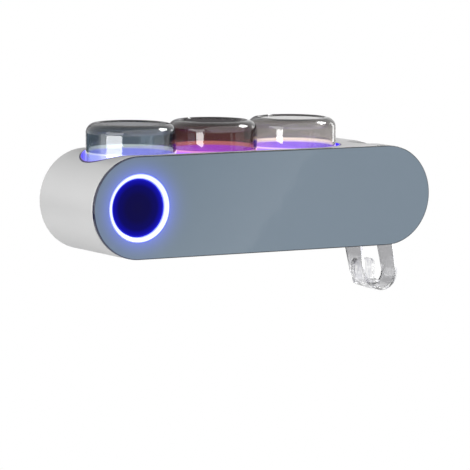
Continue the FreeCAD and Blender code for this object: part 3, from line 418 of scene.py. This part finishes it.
def litTray(look):
    material, tree = startMaterial(look["name"])
    coords = addNode(tree, "ShaderNodeTexCoord")
    place = coords.outputs["Object"]
    gloss, normal = grainOf(tree, look, place)
    # Painted glow: the lamps' light in colours along the length, pale on the rim's top face, strongest within
    # the walls
    parts = addNode(tree, "ShaderNodeSeparateXYZ", {}, {"Vector": place})
    share = addNode(tree, "ShaderNodeMapRange",
                    {"From Min": look["leftMm"] * mm, "From Max": look["rightMm"] * mm},
                    {"Value": parts.outputs["X"]})
    inside = addNode(tree, "ShaderNodeValToRGB", {}, {"Fac": share.outputs["Result"]})
    fillRamp(inside.color_ramp, look["stops"])
    facing = addNode(tree, "ShaderNodeSeparateXYZ", {}, {"Vector": coords.outputs["Normal"]})
    high = addNode(tree, "ShaderNodeMath", {"operation": "GREATER_THAN", 1: look["rimAboveMm"] * mm},
                   {0: parts.outputs["Z"]})
    upward = addNode(tree, "ShaderNodeMath", {"operation": "GREATER_THAN", 1: look["rimFacing"]},
                     {0: facing.outputs["Z"]})
    rim = addNode(tree, "ShaderNodeMath", {"operation": "MULTIPLY"},
                  {0: high.outputs["Value"], 1: upward.outputs["Value"]})
    colour = addNode(tree, "ShaderNodeMix",
                     {"data_type": "RGBA", secondColour: hexToLinear(look["rimGlow"])},
                     {"Factor": rim.outputs["Value"], firstColour: inside.outputs["Color"]})
    reach, radius = distanceFromSpine(tree, "cup_tray", 1)
    within = addNode(tree, "ShaderNodeMath",
                     {"operation": "LESS_THAN", 1: radius - look["wallMm"] / 2 * mm}, {0: reach})
    above = addNode(tree, "ShaderNodeMath", {"operation": "GREATER_THAN", 1: look["underFacing"]},
                    {0: facing.outputs["Z"]})
    lit = addNode(tree, "ShaderNodeMath", {"operation": "MULTIPLY"},
                  {0: within.outputs["Value"], 1: above.outputs["Value"]})
    glow = addNode(tree, "ShaderNodeMapRange", {"To Min": look["seepage"], "To Max": look["strength"]},
                   {"Value": lit.outputs["Value"]})
    offset = addNode(tree, "ShaderNodeMath", {"operation": "SUBTRACT", 1: look["middle"]},
                     {0: share.outputs["Result"]})
    outward = addNode(tree, "ShaderNodeMath", {"operation": "ABSOLUTE"}, {0: offset.outputs["Value"]})
    # Painted shade at the far ends of the tray
    ends = addNode(tree, "ShaderNodeMapRange",
                   {"From Min": look["endStart"], "From Max": look["endFull"]},
                   {"Value": outward.outputs["Value"]})
    tone = addNode(tree, "ShaderNodeMix", {"data_type": "RGBA", secondColour: hexToLinear(look["endShade"])},
                   {"Factor": ends.outputs["Result"], firstColour: cloudsOf(tree, look, place)})
    shader = addNode(tree, "ShaderNodeBsdfPrincipled", {"Specular IOR Level": look["specular"]},
                     {"Base Color": tone.outputs[mixedColour], "Roughness": gloss, "Normal": normal,
                      "Emission Color": colour.outputs[mixedColour],
                      "Emission Strength": glow.outputs["Result"]})
    finishMaterial(tree, shader)
    return material


dress(litTray(tray), "cup_tray")
print("housing and tray done")

# Cups: polystyrene, injection moulded and glossy, tinted through, so the edges look darker.
# Below the tray's rim the walls carry a painted glow with a painted pale line above it, standing in for the
# lamp light that edge-lit plastic takes up.
cups = {
    # glow and line: colours of the painted glow and of the painted pale line above it
    "cup_left": {"name": "polystyreneBlueGrey", "absorb": "#4c7389", "density": 570.0,
                 "glow": "#888ac2", "line": "#b8b6aa", "glowStrength": 2.0},
    "cup_middle": {"name": "polystyreneRoseBrown", "absorb": "#9c5348", "density": 820.0,
                   "glow": "#a062ff", "line": "#b88880", "glowStrength": 2.3},
    "cup_right": {"name": "polystyreneWarmGrey", "absorb": "#593d24", "density": 290.0,
                  "glow": "#54427c", "line": "#988c84", "glowStrength": 3.0},
}
cupFinish = {
    "glowStartMm": 37.6,
    "frontFadeMm": 2.4,
    "rearFadeMm": 5.4,
    "rearward": (0.515, 0.857, 0.0),  # the lit side of the tray, where the glow climbs higher
    "climbStart": -0.3,  # as shares of the radius
    "climbEnd": 0.1,
    "frontShare": 0.35,  # strength of the glow on the other side
    "stops": (0.2, 0.45, 0.8),  # end of the glow, start and end of the pale line above it
    "grainMm": 22.0,  # slow flow lines of a moulded cup
    "roughness": 0.03,
    "glossSpread": 0.015,
    "relief": 0.01,
    "edgeMm": 0.4,
    "ior": 1.55,
}


def tintedCup(cupName, look, finish):
    material, tree = startMaterial(look["name"])
    place = addNode(tree, "ShaderNodeTexCoord").outputs["Object"]
    gloss, normal = grainOf(tree, finish, place)
    # Going by the place in the room, a lifted cup leaves the lamp light
    inRoom = addNode(tree, "ShaderNodeNewGeometry").outputs["Position"]
    parts = addNode(tree, "ShaderNodeSeparateXYZ", {}, {"Vector": inRoom})
    above = addNode(tree, "ShaderNodeMath", {"operation": "SUBTRACT", 1: finish["glowStartMm"] * mm},
                    {0: parts.outputs["Z"]})
    low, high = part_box(cupName)
    radius = (high.x - low.x) / 2
    climb = {"From Min": finish["climbStart"] * radius, "From Max": finish["climbEnd"] * radius}
    out = addNode(tree, "ShaderNodeVectorMath", {"operation": "SUBTRACT", 1: (low + high) / 2}, {0: inRoom})
    back = addNode(tree, "ShaderNodeVectorMath", {"operation": "DOT_PRODUCT", 1: finish["rearward"]},
                   {0: out.outputs["Vector"]})
    fade = addNode(tree, "ShaderNodeMapRange",
                   {**climb, "To Min": finish["frontFadeMm"] * mm, "To Max": finish["rearFadeMm"] * mm},
                   {"Value": back.outputs["Value"]})
    rise = addNode(tree, "ShaderNodeMath", {"operation": "DIVIDE"},
                   {0: above.outputs["Value"], 1: fade.outputs["Result"]})
    # Painted glow low on the wall, a painted pale line above it, then none
    glowEnd, lineStart, lineEnd = finish["stops"]
    stops = ((0.0, look["glow"]), (glowEnd, look["glow"]),
             (lineStart, look["line"]), (lineEnd, look["line"]), (1.0, "#000000"))
    glow = addNode(tree, "ShaderNodeValToRGB", {}, {"Fac": rise.outputs["Value"]})
    fillRamp(glow.color_ramp, stops)
    strength = addNode(tree, "ShaderNodeMapRange",
                       {**climb, "To Min": look["glowStrength"] * finish["frontShare"],
                        "To Max": look["glowStrength"]},
                       {"Value": back.outputs["Value"]})
    shader = addNode(tree, "ShaderNodeBsdfPrincipled",
                     {"Base Color": white, "IOR": finish["ior"], "Transmission Weight": 1.0},
                     {"Roughness": gloss, "Normal": normal, "Emission Color": glow.outputs["Color"],
                      "Emission Strength": strength.outputs["Result"]})
    tint = addNode(tree, "ShaderNodeVolumeAbsorption",
                   {"Color": hexToLinear(look["absorb"]), "Density": look["density"]})
    finishMaterial(tree, shader, tint)
    return material


for cupName, cupLook in cups.items():
    dress(tintedCup(cupName, cupLook, cupFinish), cupName)

# Lever: polycarbonate, moulded: smoky through its flat legs. Its rounded edges facing front and back take
# painted highlights, and the pad is painted lit, white on the left and greying to the right; in the pad flow
# marks from the mould show as greyer streaks
lever = {
    "name": "polycarbonateSmoky",
    "legs": "#adadaf",
    # white of the painted highlights on the edges and of the painted light on the pad
    "edges": "#ffffff",
    "streaks": "#ccccd4",
    "streakMm": 3.2,
    "streakDetail": 2.0,
    "streakStretch": (1.0, 1.0, 0.3),  # flow marks run up the pad
    "streakStart": 0.48,
    "streakEnd": 0.62,
    "edgeMilk": 0.14,
    "padLeftMm": -7.0,
    "padRightMm": 8.0,
    "padTopMm": -50.0,
    "padFadeMm": 11.0,
    "edgeFacing": 0.6,
    "grainMm": 7.0,
    "roughness": 0.05,
    "glossSpread": 0.02,
    "relief": 0.14,
    "edgeMm": 0.9,
    "ior": 1.58,
}


def smokyLever(look):
    material, tree = startMaterial(look["name"])
    coords = addNode(tree, "ShaderNodeTexCoord")
    place = coords.outputs["Object"]
    gloss, normal = grainOf(tree, look, place)
    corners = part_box("push_lever")
    middle = (corners[0] + corners[1]) / 2
    parts = addNode(tree, "ShaderNodeSeparateXYZ", {}, {"Vector": place})
    facing = addNode(tree, "ShaderNodeSeparateXYZ", {}, {"Vector": coords.outputs["Normal"]})
    # Painted light and shade across the pad: white on the left, fading to the legs' grey on the right
    paintedLightAcross = addNode(tree, "ShaderNodeMapRange",
                   {"From Min": middle.x + look["padRightMm"] * mm,
                    "From Max": middle.x + look["padLeftMm"] * mm},
                   {"Value": parts.outputs["X"]})
    low = addNode(tree, "ShaderNodeMapRange",
                  {"From Min": look["padTopMm"] * mm,
                   "From Max": (look["padTopMm"] - look["padFadeMm"]) * mm},
                  {"Value": parts.outputs["Z"]})
    pad = addNode(tree, "ShaderNodeMath", {"operation": "MULTIPLY"},
                  {0: paintedLightAcross.outputs["Result"], 1: low.outputs["Result"]})
    # Faces turned to front and back take painted highlights
    turned = addNode(tree, "ShaderNodeMath", {"operation": "ABSOLUTE"}, {0: facing.outputs["Y"]})
    edge = addNode(tree, "ShaderNodeMath", {"operation": "GREATER_THAN", 1: look["edgeFacing"]},
                   {0: turned.outputs["Value"]})
    bright = addNode(tree, "ShaderNodeMath", {"operation": "MAXIMUM"},
                     {0: pad.outputs["Value"], 1: edge.outputs["Value"]})
    drawn = addNode(tree, "ShaderNodeVectorMath",
                    {"operation": "MULTIPLY", 1: look["streakStretch"]}, {0: place})
    flow = addNode(tree, "ShaderNodeTexNoise",
                   {"Scale": perMm(look["streakMm"]), "Detail": look["streakDetail"]},
                   {"Vector": drawn.outputs["Vector"]})
    marks = addNode(tree, "ShaderNodeMapRange",
                    {"From Min": look["streakStart"], "From Max": look["streakEnd"]},
                    {"Value": flow.outputs["Fac"]})
    glassy = addNode(tree, "ShaderNodeMix",
                     {"data_type": "RGBA", firstColour: hexToLinear(look["edges"]),
                      secondColour: hexToLinear(look["streaks"])},
                     {"Factor": marks.outputs["Result"]})
    tone = addNode(tree, "ShaderNodeMix", {"data_type": "RGBA", firstColour: hexToLinear(look["legs"])},
                   {"Factor": bright.outputs["Value"], secondColour: glassy.outputs[mixedColour]})
    clear = addNode(tree, "ShaderNodeMapRange", {"To Min": 1.0, "To Max": 1.0 - look["edgeMilk"]},
                    {"Value": bright.outputs["Value"]})
    shader = addNode(tree, "ShaderNodeBsdfPrincipled", {"IOR": look["ior"]},
                     {"Base Color": tone.outputs[mixedColour], "Roughness": gloss, "Normal": normal,
                      "Transmission Weight": clear.outputs["Result"]})
    finishMaterial(tree, shader)
    return material


dress(smokyLever(lever), "push_lever")
print("cups and lever done")

# Carrier behind the panel and the ring's cap: ABS, moulded black, dull and even
carrier = {"name": "absBlackMoulded", "colour": "#1b1c1f", "shade": "#151618", "roughness": 0.5,
           "glossSpread": 0.06, "cloudMm": 50.0, "grainMm": 0.8, "relief": 0.08, "edgeMm": 0.3, "ior": 1.53}
dress(grainedSurface(carrier), "panel_carrier", "ring_cap")

# Wall bracket: steel sheet, pressed and brushed, with fine lines along its length
bracket = {"name": "steelSheetBrushed", "colour": "#b4b6b9", "shade": "#9fa2a6", "metallic": 1.0,
           "roughness": 0.34, "glossSpread": 0.08, "cloudMm": 40.0, "grainMm": 0.5,
           "stretch": (0.04, 1.0, 1.0), "relief": 0.12, "edgeMm": 0.4}
dress(grainedSurface(bracket), "wall_bracket")

# Screws and catch plates: steel, zinc plated, slightly cloudy
zinc = {"name": "steelZincPlated", "colour": "#a9adb3", "shade": "#8d939b", "metallic": 1.0, "roughness": 0.3,
        "glossSpread": 0.1, "cloudMm": 3.0, "grainMm": 0.6, "relief": 0.08, "edgeMm": 0.25}
zincPlated = grainedSurface(zinc)
dress(zincPlated, "catch_plates")


def addPiece(name, mesh, material):
    mesh.materials.clear()
    mesh.materials.append(material)
    return putInScene(bpy.data.objects.new(name, mesh))


# Rear screws: the same pan heads with a pressed cross recess; points within apartMm belong to one screw
recess = {"longMm": 3.4, "wideMm": 0.8, "deepMm": 1.0, "apartMm": 8.0}


def screwSpots(look):
    groups = []
    holder = cadNodes["rear_screws"]
    for vertex in holder.data.vertices:
        spot = holder.matrix_world @ vertex.co
        for group in groups:
            if math.hypot(spot.x - group[0].x, spot.z - group[0].z) < look["apartMm"] * mm:
                group.append(spot)
                break
        else:
            groups.append([spot])
    return [[(min(s[axis] for s in group) + max(s[axis] for s in group)) / 2 for axis in (0, 2)]
            for group in groups]


def recessCutter(look, lengthwise):
    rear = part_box("rear_screws")[1].y
    long, wide, deep = (look[key] * mm for key in ("longMm", "wideMm", "deepMm"))
    size = (long, 2 * deep, wide) if lengthwise else (wide, 2 * deep, long)
    shape = bmesh.new()
    for x, z in screwSpots(look):
        bmesh.ops.create_cube(shape, size=1.0,
                              matrix=Matrix.Translation((x, rear, z)) @ Matrix.Diagonal((*size, 1.0)))
    mesh = bpy.data.meshes.new("recessCutter")
    shape.to_mesh(mesh)
    shape.free()
    return putInScene(bpy.data.objects.new("recessCutter", mesh))


def makeScrews(look):
    blank = putInScene(bpy.data.objects.new("screwBlank", cadNodes["rear_screws"].data.copy()))
    blank.matrix_world = cadNodes["rear_screws"].matrix_world
    cutters = [recessCutter(look, lengthwise) for lengthwise in (True, False)]
    for cutter in cutters:
        cut = blank.modifiers.new("recess", "BOOLEAN")
        cut.operation = "DIFFERENCE"
        cut.solver = "EXACT"
        cut.object = cutter
    bpy.context.view_layer.update()
    ready = blank.evaluated_get(bpy.context.evaluated_depsgraph_get())
    mesh = bpy.data.meshes.new_from_object(ready)
    mesh.transform(blank.matrix_world)
    for spare in (blank, *cutters):
        bpy.data.objects.remove(spare)
    piece = addPiece("rearScrews", mesh, zincPlated)
    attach(piece, "housing")
    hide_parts("rear_screws")


makeScrews(recess)

# Pins: steel, ground, with fine rings round the bar
pins = {"name": "steelGround", "colour": "#c2c4c8", "shade": "#acafb4", "metallic": 1.0, "roughness": 0.2,
        "glossSpread": 0.06, "cloudMm": 6.0, "grainMm": 0.4, "stretch": (1.0, 0.1, 0.1), "relief": 0.08,
        "edgeMm": 0.15}
dress(grainedSurface(pins), "hinge_pins", "lever_pin")

# Port shell and magnets: steel, drawn and nickel plated, warm and bright
nickel = {"name": "steelNickelPlated", "colour": "#cfcac0", "shade": "#bdb8ae", "metallic": 1.0,
          "roughness": 0.16, "glossSpread": 0.05, "cloudMm": 4.0, "grainMm": 0.5, "relief": 0.05,
          "edgeMm": 0.3}
dress(grainedSurface(nickel), "charging_port", "cover_magnets")

# Liner: aluminium sheet, rolled bright, with drawn-out rolling lines
liner = {"name": "aluminiumSheetBright", "colour": "#d2d4da", "shade": "#c3c6ce", "metallic": 1.0,
         "roughness": 0.22, "glossSpread": 0.06, "cloudMm": 30.0, "grainMm": 0.6, "stretch": (0.05, 1.0, 1.0),
         "relief": 0.06, "edgeMm": 0.3}
dress(grainedSurface(liner), "chamber_liner")

# Battery: aluminium foil pouch, pressed, with shallow creases
battery = {"name": "aluminiumFoilPouch", "colour": "#b9bcc3", "shade": "#9a9ea8", "metallic": 1.0,
           "roughness": 0.32, "glossSpread": 0.12, "cloudMm": 9.0, "grainMm": 5.0, "relief": 0.35,
           "edgeMm": 0.8}
dress(grainedSurface(battery), "battery_pack")

# Seals: silicone, moulded soft and matt, with a dusty bloom
seals = {"name": "siliconeGreyMoulded", "colour": "#8d9198", "shade": "#7f838a", "roughness": 0.62,
         "glossSpread": 0.08, "cloudMm": 5.0, "grainMm": 0.4, "relief": 0.1, "edgeMm": 0.4, "ior": 1.41}
siliconeGrey = grainedSurface(seals)
dress(siliconeGrey, "tube_seal", "plunger_ring")

# Return sleeve: a soft bellows round the plunger, built at one length and fixed to the housing
sleeve = {"waves": 3, "wallMm": 0.42, "depthMm": 0.7, "sides": 48, "steps": 36, "keep": 0.42}


def makeSleeve(look):
    low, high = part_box("return_sleeve")
    centre = (low + high) / 2
    outer = (high.x - low.x) / 2
    skin = []
    for step in range(look["steps"] + 1):
        share = step / look["steps"]
        fold = (1.0 - math.cos(2 * math.pi * look["waves"] * share)) / 2
        skin.append((outer - fold * look["depthMm"] * mm, low.y + share * (high.y - low.y)))
    profile = skin + [(radius - look["wallMm"] * mm, y) for radius, y in reversed(skin)]
    turns = [2 * math.pi * side / look["sides"] for side in range(look["sides"])]
    shape = bmesh.new()
    rows = []
    for radius, y in profile:
        spots = [(centre.x + radius * math.cos(turn), y, centre.z + radius * math.sin(turn))
                 for turn in turns]
        rows.append([shape.verts.new(spot) for spot in spots])
    for row, nextRow in zip(rows, rows[1:] + rows[:1]):
        for side in range(look["sides"]):
            following = (side + 1) % look["sides"]
            shape.faces.new((row[side], row[following], nextRow[following], nextRow[side]))
    bmesh.ops.recalc_face_normals(shape, faces=shape.faces)
    for face in shape.faces:
        face.smooth = True
    mesh = bpy.data.meshes.new("returnSleeve")
    shape.to_mesh(mesh)
    shape.free()
    piece = addPiece("returnSleeve", mesh, siliconeGrey)
    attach(piece, "housing")
    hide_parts("return_sleeve")
    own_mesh(piece)


makeSleeve(sleeve)

# Nozzle: silicone, moulded milky white
nozzle = {"name": "siliconeMilkyMoulded", "colour": "#dcdfe2", "shade": "#cfd3d8", "roughness": 0.5,
          "glossSpread": 0.06, "cloudMm": 4.0, "grainMm": 0.5, "relief": 0.06, "edgeMm": 0.4, "ior": 1.41}
dress(grainedSurface(nozzle), "pump_nozzle")

# Pump: acetal, moulded, dense white with a slippery sheen
pump = {"name": "acetalWhiteMoulded", "colour": "#dadad8", "shade": "#d2d2cf", "roughness": 0.36,
        "glossSpread": 0.05, "cloudMm": 12.0, "grainMm": 0.7, "relief": 0.05, "edgeMm": 0.5, "ior": 1.48}
dress(grainedSurface(pump), "pump_body", "pump_plunger")

# Chips: epoxy, moulded black, with a dull peppery face
chips = {"name": "epoxyBlackMoulded", "colour": "#1e1e20", "shade": "#29292c", "roughness": 0.55,
         "glossSpread": 0.1, "cloudMm": 2.0, "grainMm": 0.3, "relief": 0.15, "edgeMm": 0.3, "ior": 1.55}
dress(grainedSurface(chips), "board_chips")
print("plain pieces done")

# Boards: glass-fibre laminate under solder mask: copper tracks show through as a faint net
boards = {
    "mainBoard": {"name": "laminateGreenMask", "mask": "#0f4a30", "track": "#1b6a47", "trackMm": 3.2,
                  "nodes": ("main_board", "ring_board")},
    "lampBoard": {"name": "laminateWhiteMask", "mask": "#d5d6d2", "track": "#c2c4bd", "trackMm": 4.0,
                  "nodes": ("lamp_strip",)},
}
boardFinish = {"grainMm": 0.5, "roughness": 0.38, "glossSpread": 0.06, "relief": 0.08, "edgeMm": 0.2,
               "ior": 1.52, "scatter": 0.35, "trackStart": 0.05, "trackEnd": 0.12}


def maskedBoard(look, finish):
    material, tree = startMaterial(look["name"])
    place = addNode(tree, "ShaderNodeTexCoord").outputs["Object"]
    gloss, normal = grainOf(tree, finish, place)
    cells = addNode(tree, "ShaderNodeTexVoronoi",
                    {"feature": "DISTANCE_TO_EDGE", "Scale": perMm(look["trackMm"]),
                     "Randomness": finish["scatter"]},
                    {"Vector": place})
    net = addNode(tree, "ShaderNodeMapRange",
                  {"From Min": finish["trackStart"], "From Max": finish["trackEnd"]},
                  {"Value": cells.outputs["Distance"]})
    tone = addNode(tree, "ShaderNodeMix",
                   {"data_type": "RGBA", firstColour: hexToLinear(look["track"]),
                    secondColour: hexToLinear(look["mask"])},
                   {"Factor": net.outputs["Result"]})
    shader = addNode(tree, "ShaderNodeBsdfPrincipled", {"IOR": finish["ior"]},
                     {"Base Color": tone.outputs[mixedColour], "Roughness": gloss, "Normal": normal})
    finishMaterial(tree, shader)
    return material


for boardLook in boards.values():
    dress(maskedBoard(boardLook, boardFinish), *boardLook["nodes"])

# Lamps: clear resin, cast over a lit die, glowing violet
lamps = {"name": "resinLampLit", "colour": "#cfc8e8", "shade": "#c2b8e4", "glow": "#6a3cff", "strength": 4.0,
         "cloudMm": 2.0, "grainMm": 0.8, "roughness": 0.2, "glossSpread": 0.05, "relief": 0.05, "edgeMm": 0.2}


def litLamp(look):
    material, tree = startMaterial(look["name"])
    place = addNode(tree, "ShaderNodeTexCoord").outputs["Object"]
    gloss, normal = grainOf(tree, look, place)
    shader = addNode(tree, "ShaderNodeBsdfPrincipled",
                     {"Emission Color": hexToLinear(look["glow"]), "Emission Strength": look["strength"]},
                     {"Base Color": cloudsOf(tree, look, place), "Roughness": gloss, "Normal": normal})
    finishMaterial(tree, shader)
    return material


dress(litLamp(lamps), "brush_lamps", "cup_lamps")

# Windows over the cup lamps: quartz discs, ground and polished, clear with a sharp glint
windows = {"name": "quartzPolished", "grainMm": 6.0, "roughness": 0.03, "glossSpread": 0.01, "relief": 0.01,
           "edgeMm": 0.3, "ior": 1.46}


def polishedQuartz(look):
    material, tree = startMaterial(look["name"])
    place = addNode(tree, "ShaderNodeTexCoord").outputs["Object"]
    gloss, normal = grainOf(tree, look, place)
    shader = addNode(tree, "ShaderNodeBsdfPrincipled",
                     {"Base Color": white, "IOR": look["ior"], "Transmission Weight": 1.0},
                     {"Roughness": gloss, "Normal": normal})
    finishMaterial(tree, shader)
    return material


dress(polishedQuartz(windows), "cup_windows")
print("boards and lamps done")

# Stage: floor and world are white to the eye, to mirrors and to clear pieces, pale to scattered light
stage = {"floorDropMm": 800.0, "floorSize": 14.0, "floorColour": "#a6a6a7", "ambient": 0.42}


def seenDirectly(tree):
    path = addNode(tree, "ShaderNodeLightPath")
    some = addNode(tree, "ShaderNodeMath", {"operation": "MAXIMUM"},
                   {0: path.outputs["Is Camera Ray"], 1: path.outputs["Is Glossy Ray"]})
    every = addNode(tree, "ShaderNodeMath", {"operation": "MAXIMUM"},
                    {0: some.outputs["Value"], 1: path.outputs["Is Transmission Ray"]})
    return every.outputs["Value"]


def makeFloor(look):
    half = look["floorSize"] / 2
    level = objectCentre.z - look["floorDropMm"] * mm
    corners = [(-half, -half, level), (half, -half, level), (half, half, level), (-half, half, level)]
    floor = flatSheet("studioFloor", corners)
    material, tree = startMaterial("paperFloorPale")
    paper = addNode(tree, "ShaderNodeBsdfDiffuse", {"Color": hexToLinear(look["floorColour"])})
    bright = addNode(tree, "ShaderNodeEmission", {"Color": white, "Strength": 1.0})
    mixed = addNode(tree, "ShaderNodeMixShader", {},
                    {0: seenDirectly(tree), 1: paper.outputs[0], 2: bright.outputs[0]})
    finishMaterial(tree, mixed)
    floor.data.materials.append(material)


def makeWorld(look):
    world = bpy.data.worlds.new("studioWorld")
    world.use_nodes = True
    tree = world.node_tree
    tree.nodes.clear()
    strength = addNode(tree, "ShaderNodeMapRange", {"To Min": look["ambient"], "To Max": 1.0},
                       {"Value": seenDirectly(tree)})
    sky = addNode(tree, "ShaderNodeBackground", {"Color": white},
                  {"Strength": strength.outputs["Result"]})
    addNode(tree, "ShaderNodeOutputWorld", {}, {"Surface": sky.outputs[0]})
    bpy.context.scene.world = world


makeFloor(stage)
makeWorld(stage)

# Softboxes: one low at the left for the cups, broad ones in front and behind, one high at the right
softboxes = {
    "leftSoftbox": {"azimuth": -74, "elevation": -2, "distance": 1.5, "size": (1.1, 0.42), "power": 16.5},
    "frontSoftbox": {"azimuth": 12, "elevation": 8, "distance": 2.2, "size": (2.0, 1.8), "power": 20.5,
                     "mirrored": False},
    "rearSoftbox": {"azimuth": 195, "elevation": 8, "distance": 2.2, "size": (1.6, 1.2), "power": 8.0,
                    "mirrored": False},
    "rightSoftbox": {"azimuth": 75, "elevation": 45, "distance": 1.6, "size": (0.9, 0.5), "power": 9.0},
}


def directionTo(azimuth, elevation):
    across, up = math.radians(azimuth), math.radians(elevation)
    return Vector((math.sin(across) * math.cos(up), -math.cos(across) * math.cos(up), math.sin(up)))


def addSoftbox(name, look):
    lamp = bpy.data.lights.new(name, "AREA")
    lamp.shape = "RECTANGLE"
    lamp.size, lamp.size_y = look["size"]
    lamp.energy = look["power"]
    holder = putInScene(bpy.data.objects.new(name, lamp))
    way = directionTo(look["azimuth"], look["elevation"])
    holder.location = objectCentre + way * look["distance"]
    holder.rotation_mode = "QUATERNION"
    holder.rotation_quaternion = (-way).to_track_quat("-Z", "Y")
    holder.visible_camera = False
    holder.visible_glossy = look.get("mirrored", True)


for boxName, boxLook in softboxes.items():
    addSoftbox(boxName, boxLook)

# Cards seen only in reflections: grey ones behind darken the cup tops, white ones above and at the sides
# brighten the cups' shoulders and edges, black ones low in front and behind deepen their walls
cards = {
    "rearCard": {"name": "cardGreyPale", "azimuth": 166.8, "elevation": 9, "distance": 1.4,
                 "size": (0.75, 0.55), "colour": "#b2b2b4", "level": 1.0},
    "middleCard": {"name": "cardGreyDark", "azimuth": 150.0, "elevation": 9, "distance": 1.449,
                   "size": (0.09, 0.55), "colour": "#626264", "level": 1.0},
    "shoulderCard": {"name": "cardWhiteLit", "azimuth": 80, "elevation": 42, "distance": 1.6,
                     "size": (0.8, 0.5), "colour": "#ffffff", "level": 18.0},
    "topCard": {"name": "cardWhiteTop", "azimuth": 12, "elevation": 42, "distance": 1.2,
                "size": (2.6, 1.6), "colour": "#ffffff", "level": 2.3},
    "sideCard": {"name": "cardWhiteFar", "azimuth": -102, "elevation": 0, "distance": 1.5,
                 "size": (0.42, 0.8), "colour": "#ffffff", "level": 3.2},
    "backCard": {"name": "cardBlackBack", "azimuth": -150, "elevation": -7, "distance": 1.5,
                 "size": (1.9, 0.4), "colour": "#202020", "level": 1.0},
    "leftCard": {"name": "cardWhiteLeft", "azimuth": -74, "elevation": 22, "distance": 1.5,
                 "size": (1.1, 0.7), "colour": "#ffffff", "level": 5.0},
    "frontCard": {"name": "cardBlackFront", "azimuth": -18, "elevation": -9, "distance": 1.5,
                  "size": (2.0, 0.5), "colour": "#101010", "level": 1.0},
    "edgeCard": {"name": "cardWhiteSide", "azimuth": 106, "elevation": 8, "distance": 1.6,
                 "size": (0.3, 0.8), "colour": "#ffffff", "level": 4.0},
}


def finishCard(card, material):
    card.data.materials.append(material)
    card.visible_camera = False
    card.visible_diffuse = False
    card.visible_transmission = False
    card.visible_shadow = False


def addCard(name, look):
    way = directionTo(look["azimuth"], look["elevation"])
    wide, tall = look["size"][0] / 2, look["size"][1] / 2
    card = flatSheet(name, [(-wide, -tall, 0), (wide, -tall, 0), (wide, tall, 0), (-wide, tall, 0)])
    card.location = objectCentre + way * look["distance"]
    card.rotation_mode = "QUATERNION"
    card.rotation_quaternion = way.to_track_quat("Z", "Y")
    material, tree = startMaterial(look["name"])
    lit = addNode(tree, "ShaderNodeEmission",
                  {"Color": hexToLinear(look["colour"]), "Strength": look["level"]})
    finishMaterial(tree, lit)
    finishCard(card, material)


for cardName, cardLook in cards.items():
    addCard(cardName, cardLook)

# Slanted card in front at the right: the panel mirrors its sharp edge, brightest along that edge
slantCard = {"standoff": 2.0, "low": -0.45, "high": 0.1, "slant": 0.776, "edge": 1.3772, "width": 0.5,
             "fade": 0.24, "level": 0.1, "gain": 1.4}


def addSlantCard(look):
    ends = [(look["edge"] + look["slant"] * z, -look["standoff"], z) for z in (look["low"], look["high"])]
    starts = [(x - look["width"], y, z) for x, y, z in ends]
    card = flatSheet("slantCard", [starts[0], ends[0], ends[1], starts[1]])
    material, tree = startMaterial("cardWhiteGraded")
    place = addNode(tree, "ShaderNodeTexCoord").outputs["Object"]
    across = addNode(tree, "ShaderNodeVectorMath",
                     {"operation": "DOT_PRODUCT", 1: (1.0, 0.0, -look["slant"])}, {0: place})
    level = addNode(tree, "ShaderNodeMapRange",
                    {"From Min": look["edge"] - look["fade"], "From Max": look["edge"],
                     "To Min": look["level"], "To Max": look["level"] + look["gain"]},
                    {"Value": across.outputs["Value"]})
    lit = addNode(tree, "ShaderNodeEmission", {}, {"Strength": level.outputs["Result"]})
    finishMaterial(tree, lit)
    finishCard(card, material)


addSlantCard(slantCard)
print("stage and light done")

# Camera: the photograph's viewing angle, far off with a long lens
cameraView = {
    "place": (-1.42983, -2.41203, 0.27756),
    "azimuth": -31.10,
    "elevation": 6.36,
    "roll": 0.50,
    "lens": 267.94,
    "sensor": 36.0,
    "farLimit": 60.0,
}


def makeCamera(look):
    data = bpy.data.cameras.new("photoCamera")
    data.lens = look["lens"]
    data.sensor_width = look["sensor"]
    data.clip_end = look["farLimit"]
    camera = putInScene(bpy.data.objects.new("photoCamera", data))
    turn = Matrix.Rotation(math.radians(look["azimuth"]), 4, "Z")
    tilt = Matrix.Rotation(math.radians(90.0 - look["elevation"]), 4, "X")
    roll = Matrix.Rotation(math.radians(look["roll"]), 4, "Z")
    camera.matrix_world = Matrix.Translation(look["place"]) @ turn @ tilt @ roll
    bpy.context.scene.camera = camera


makeCamera(cameraView)
bpy.context.scene.view_settings.view_transform = "Standard"
print("camera done")
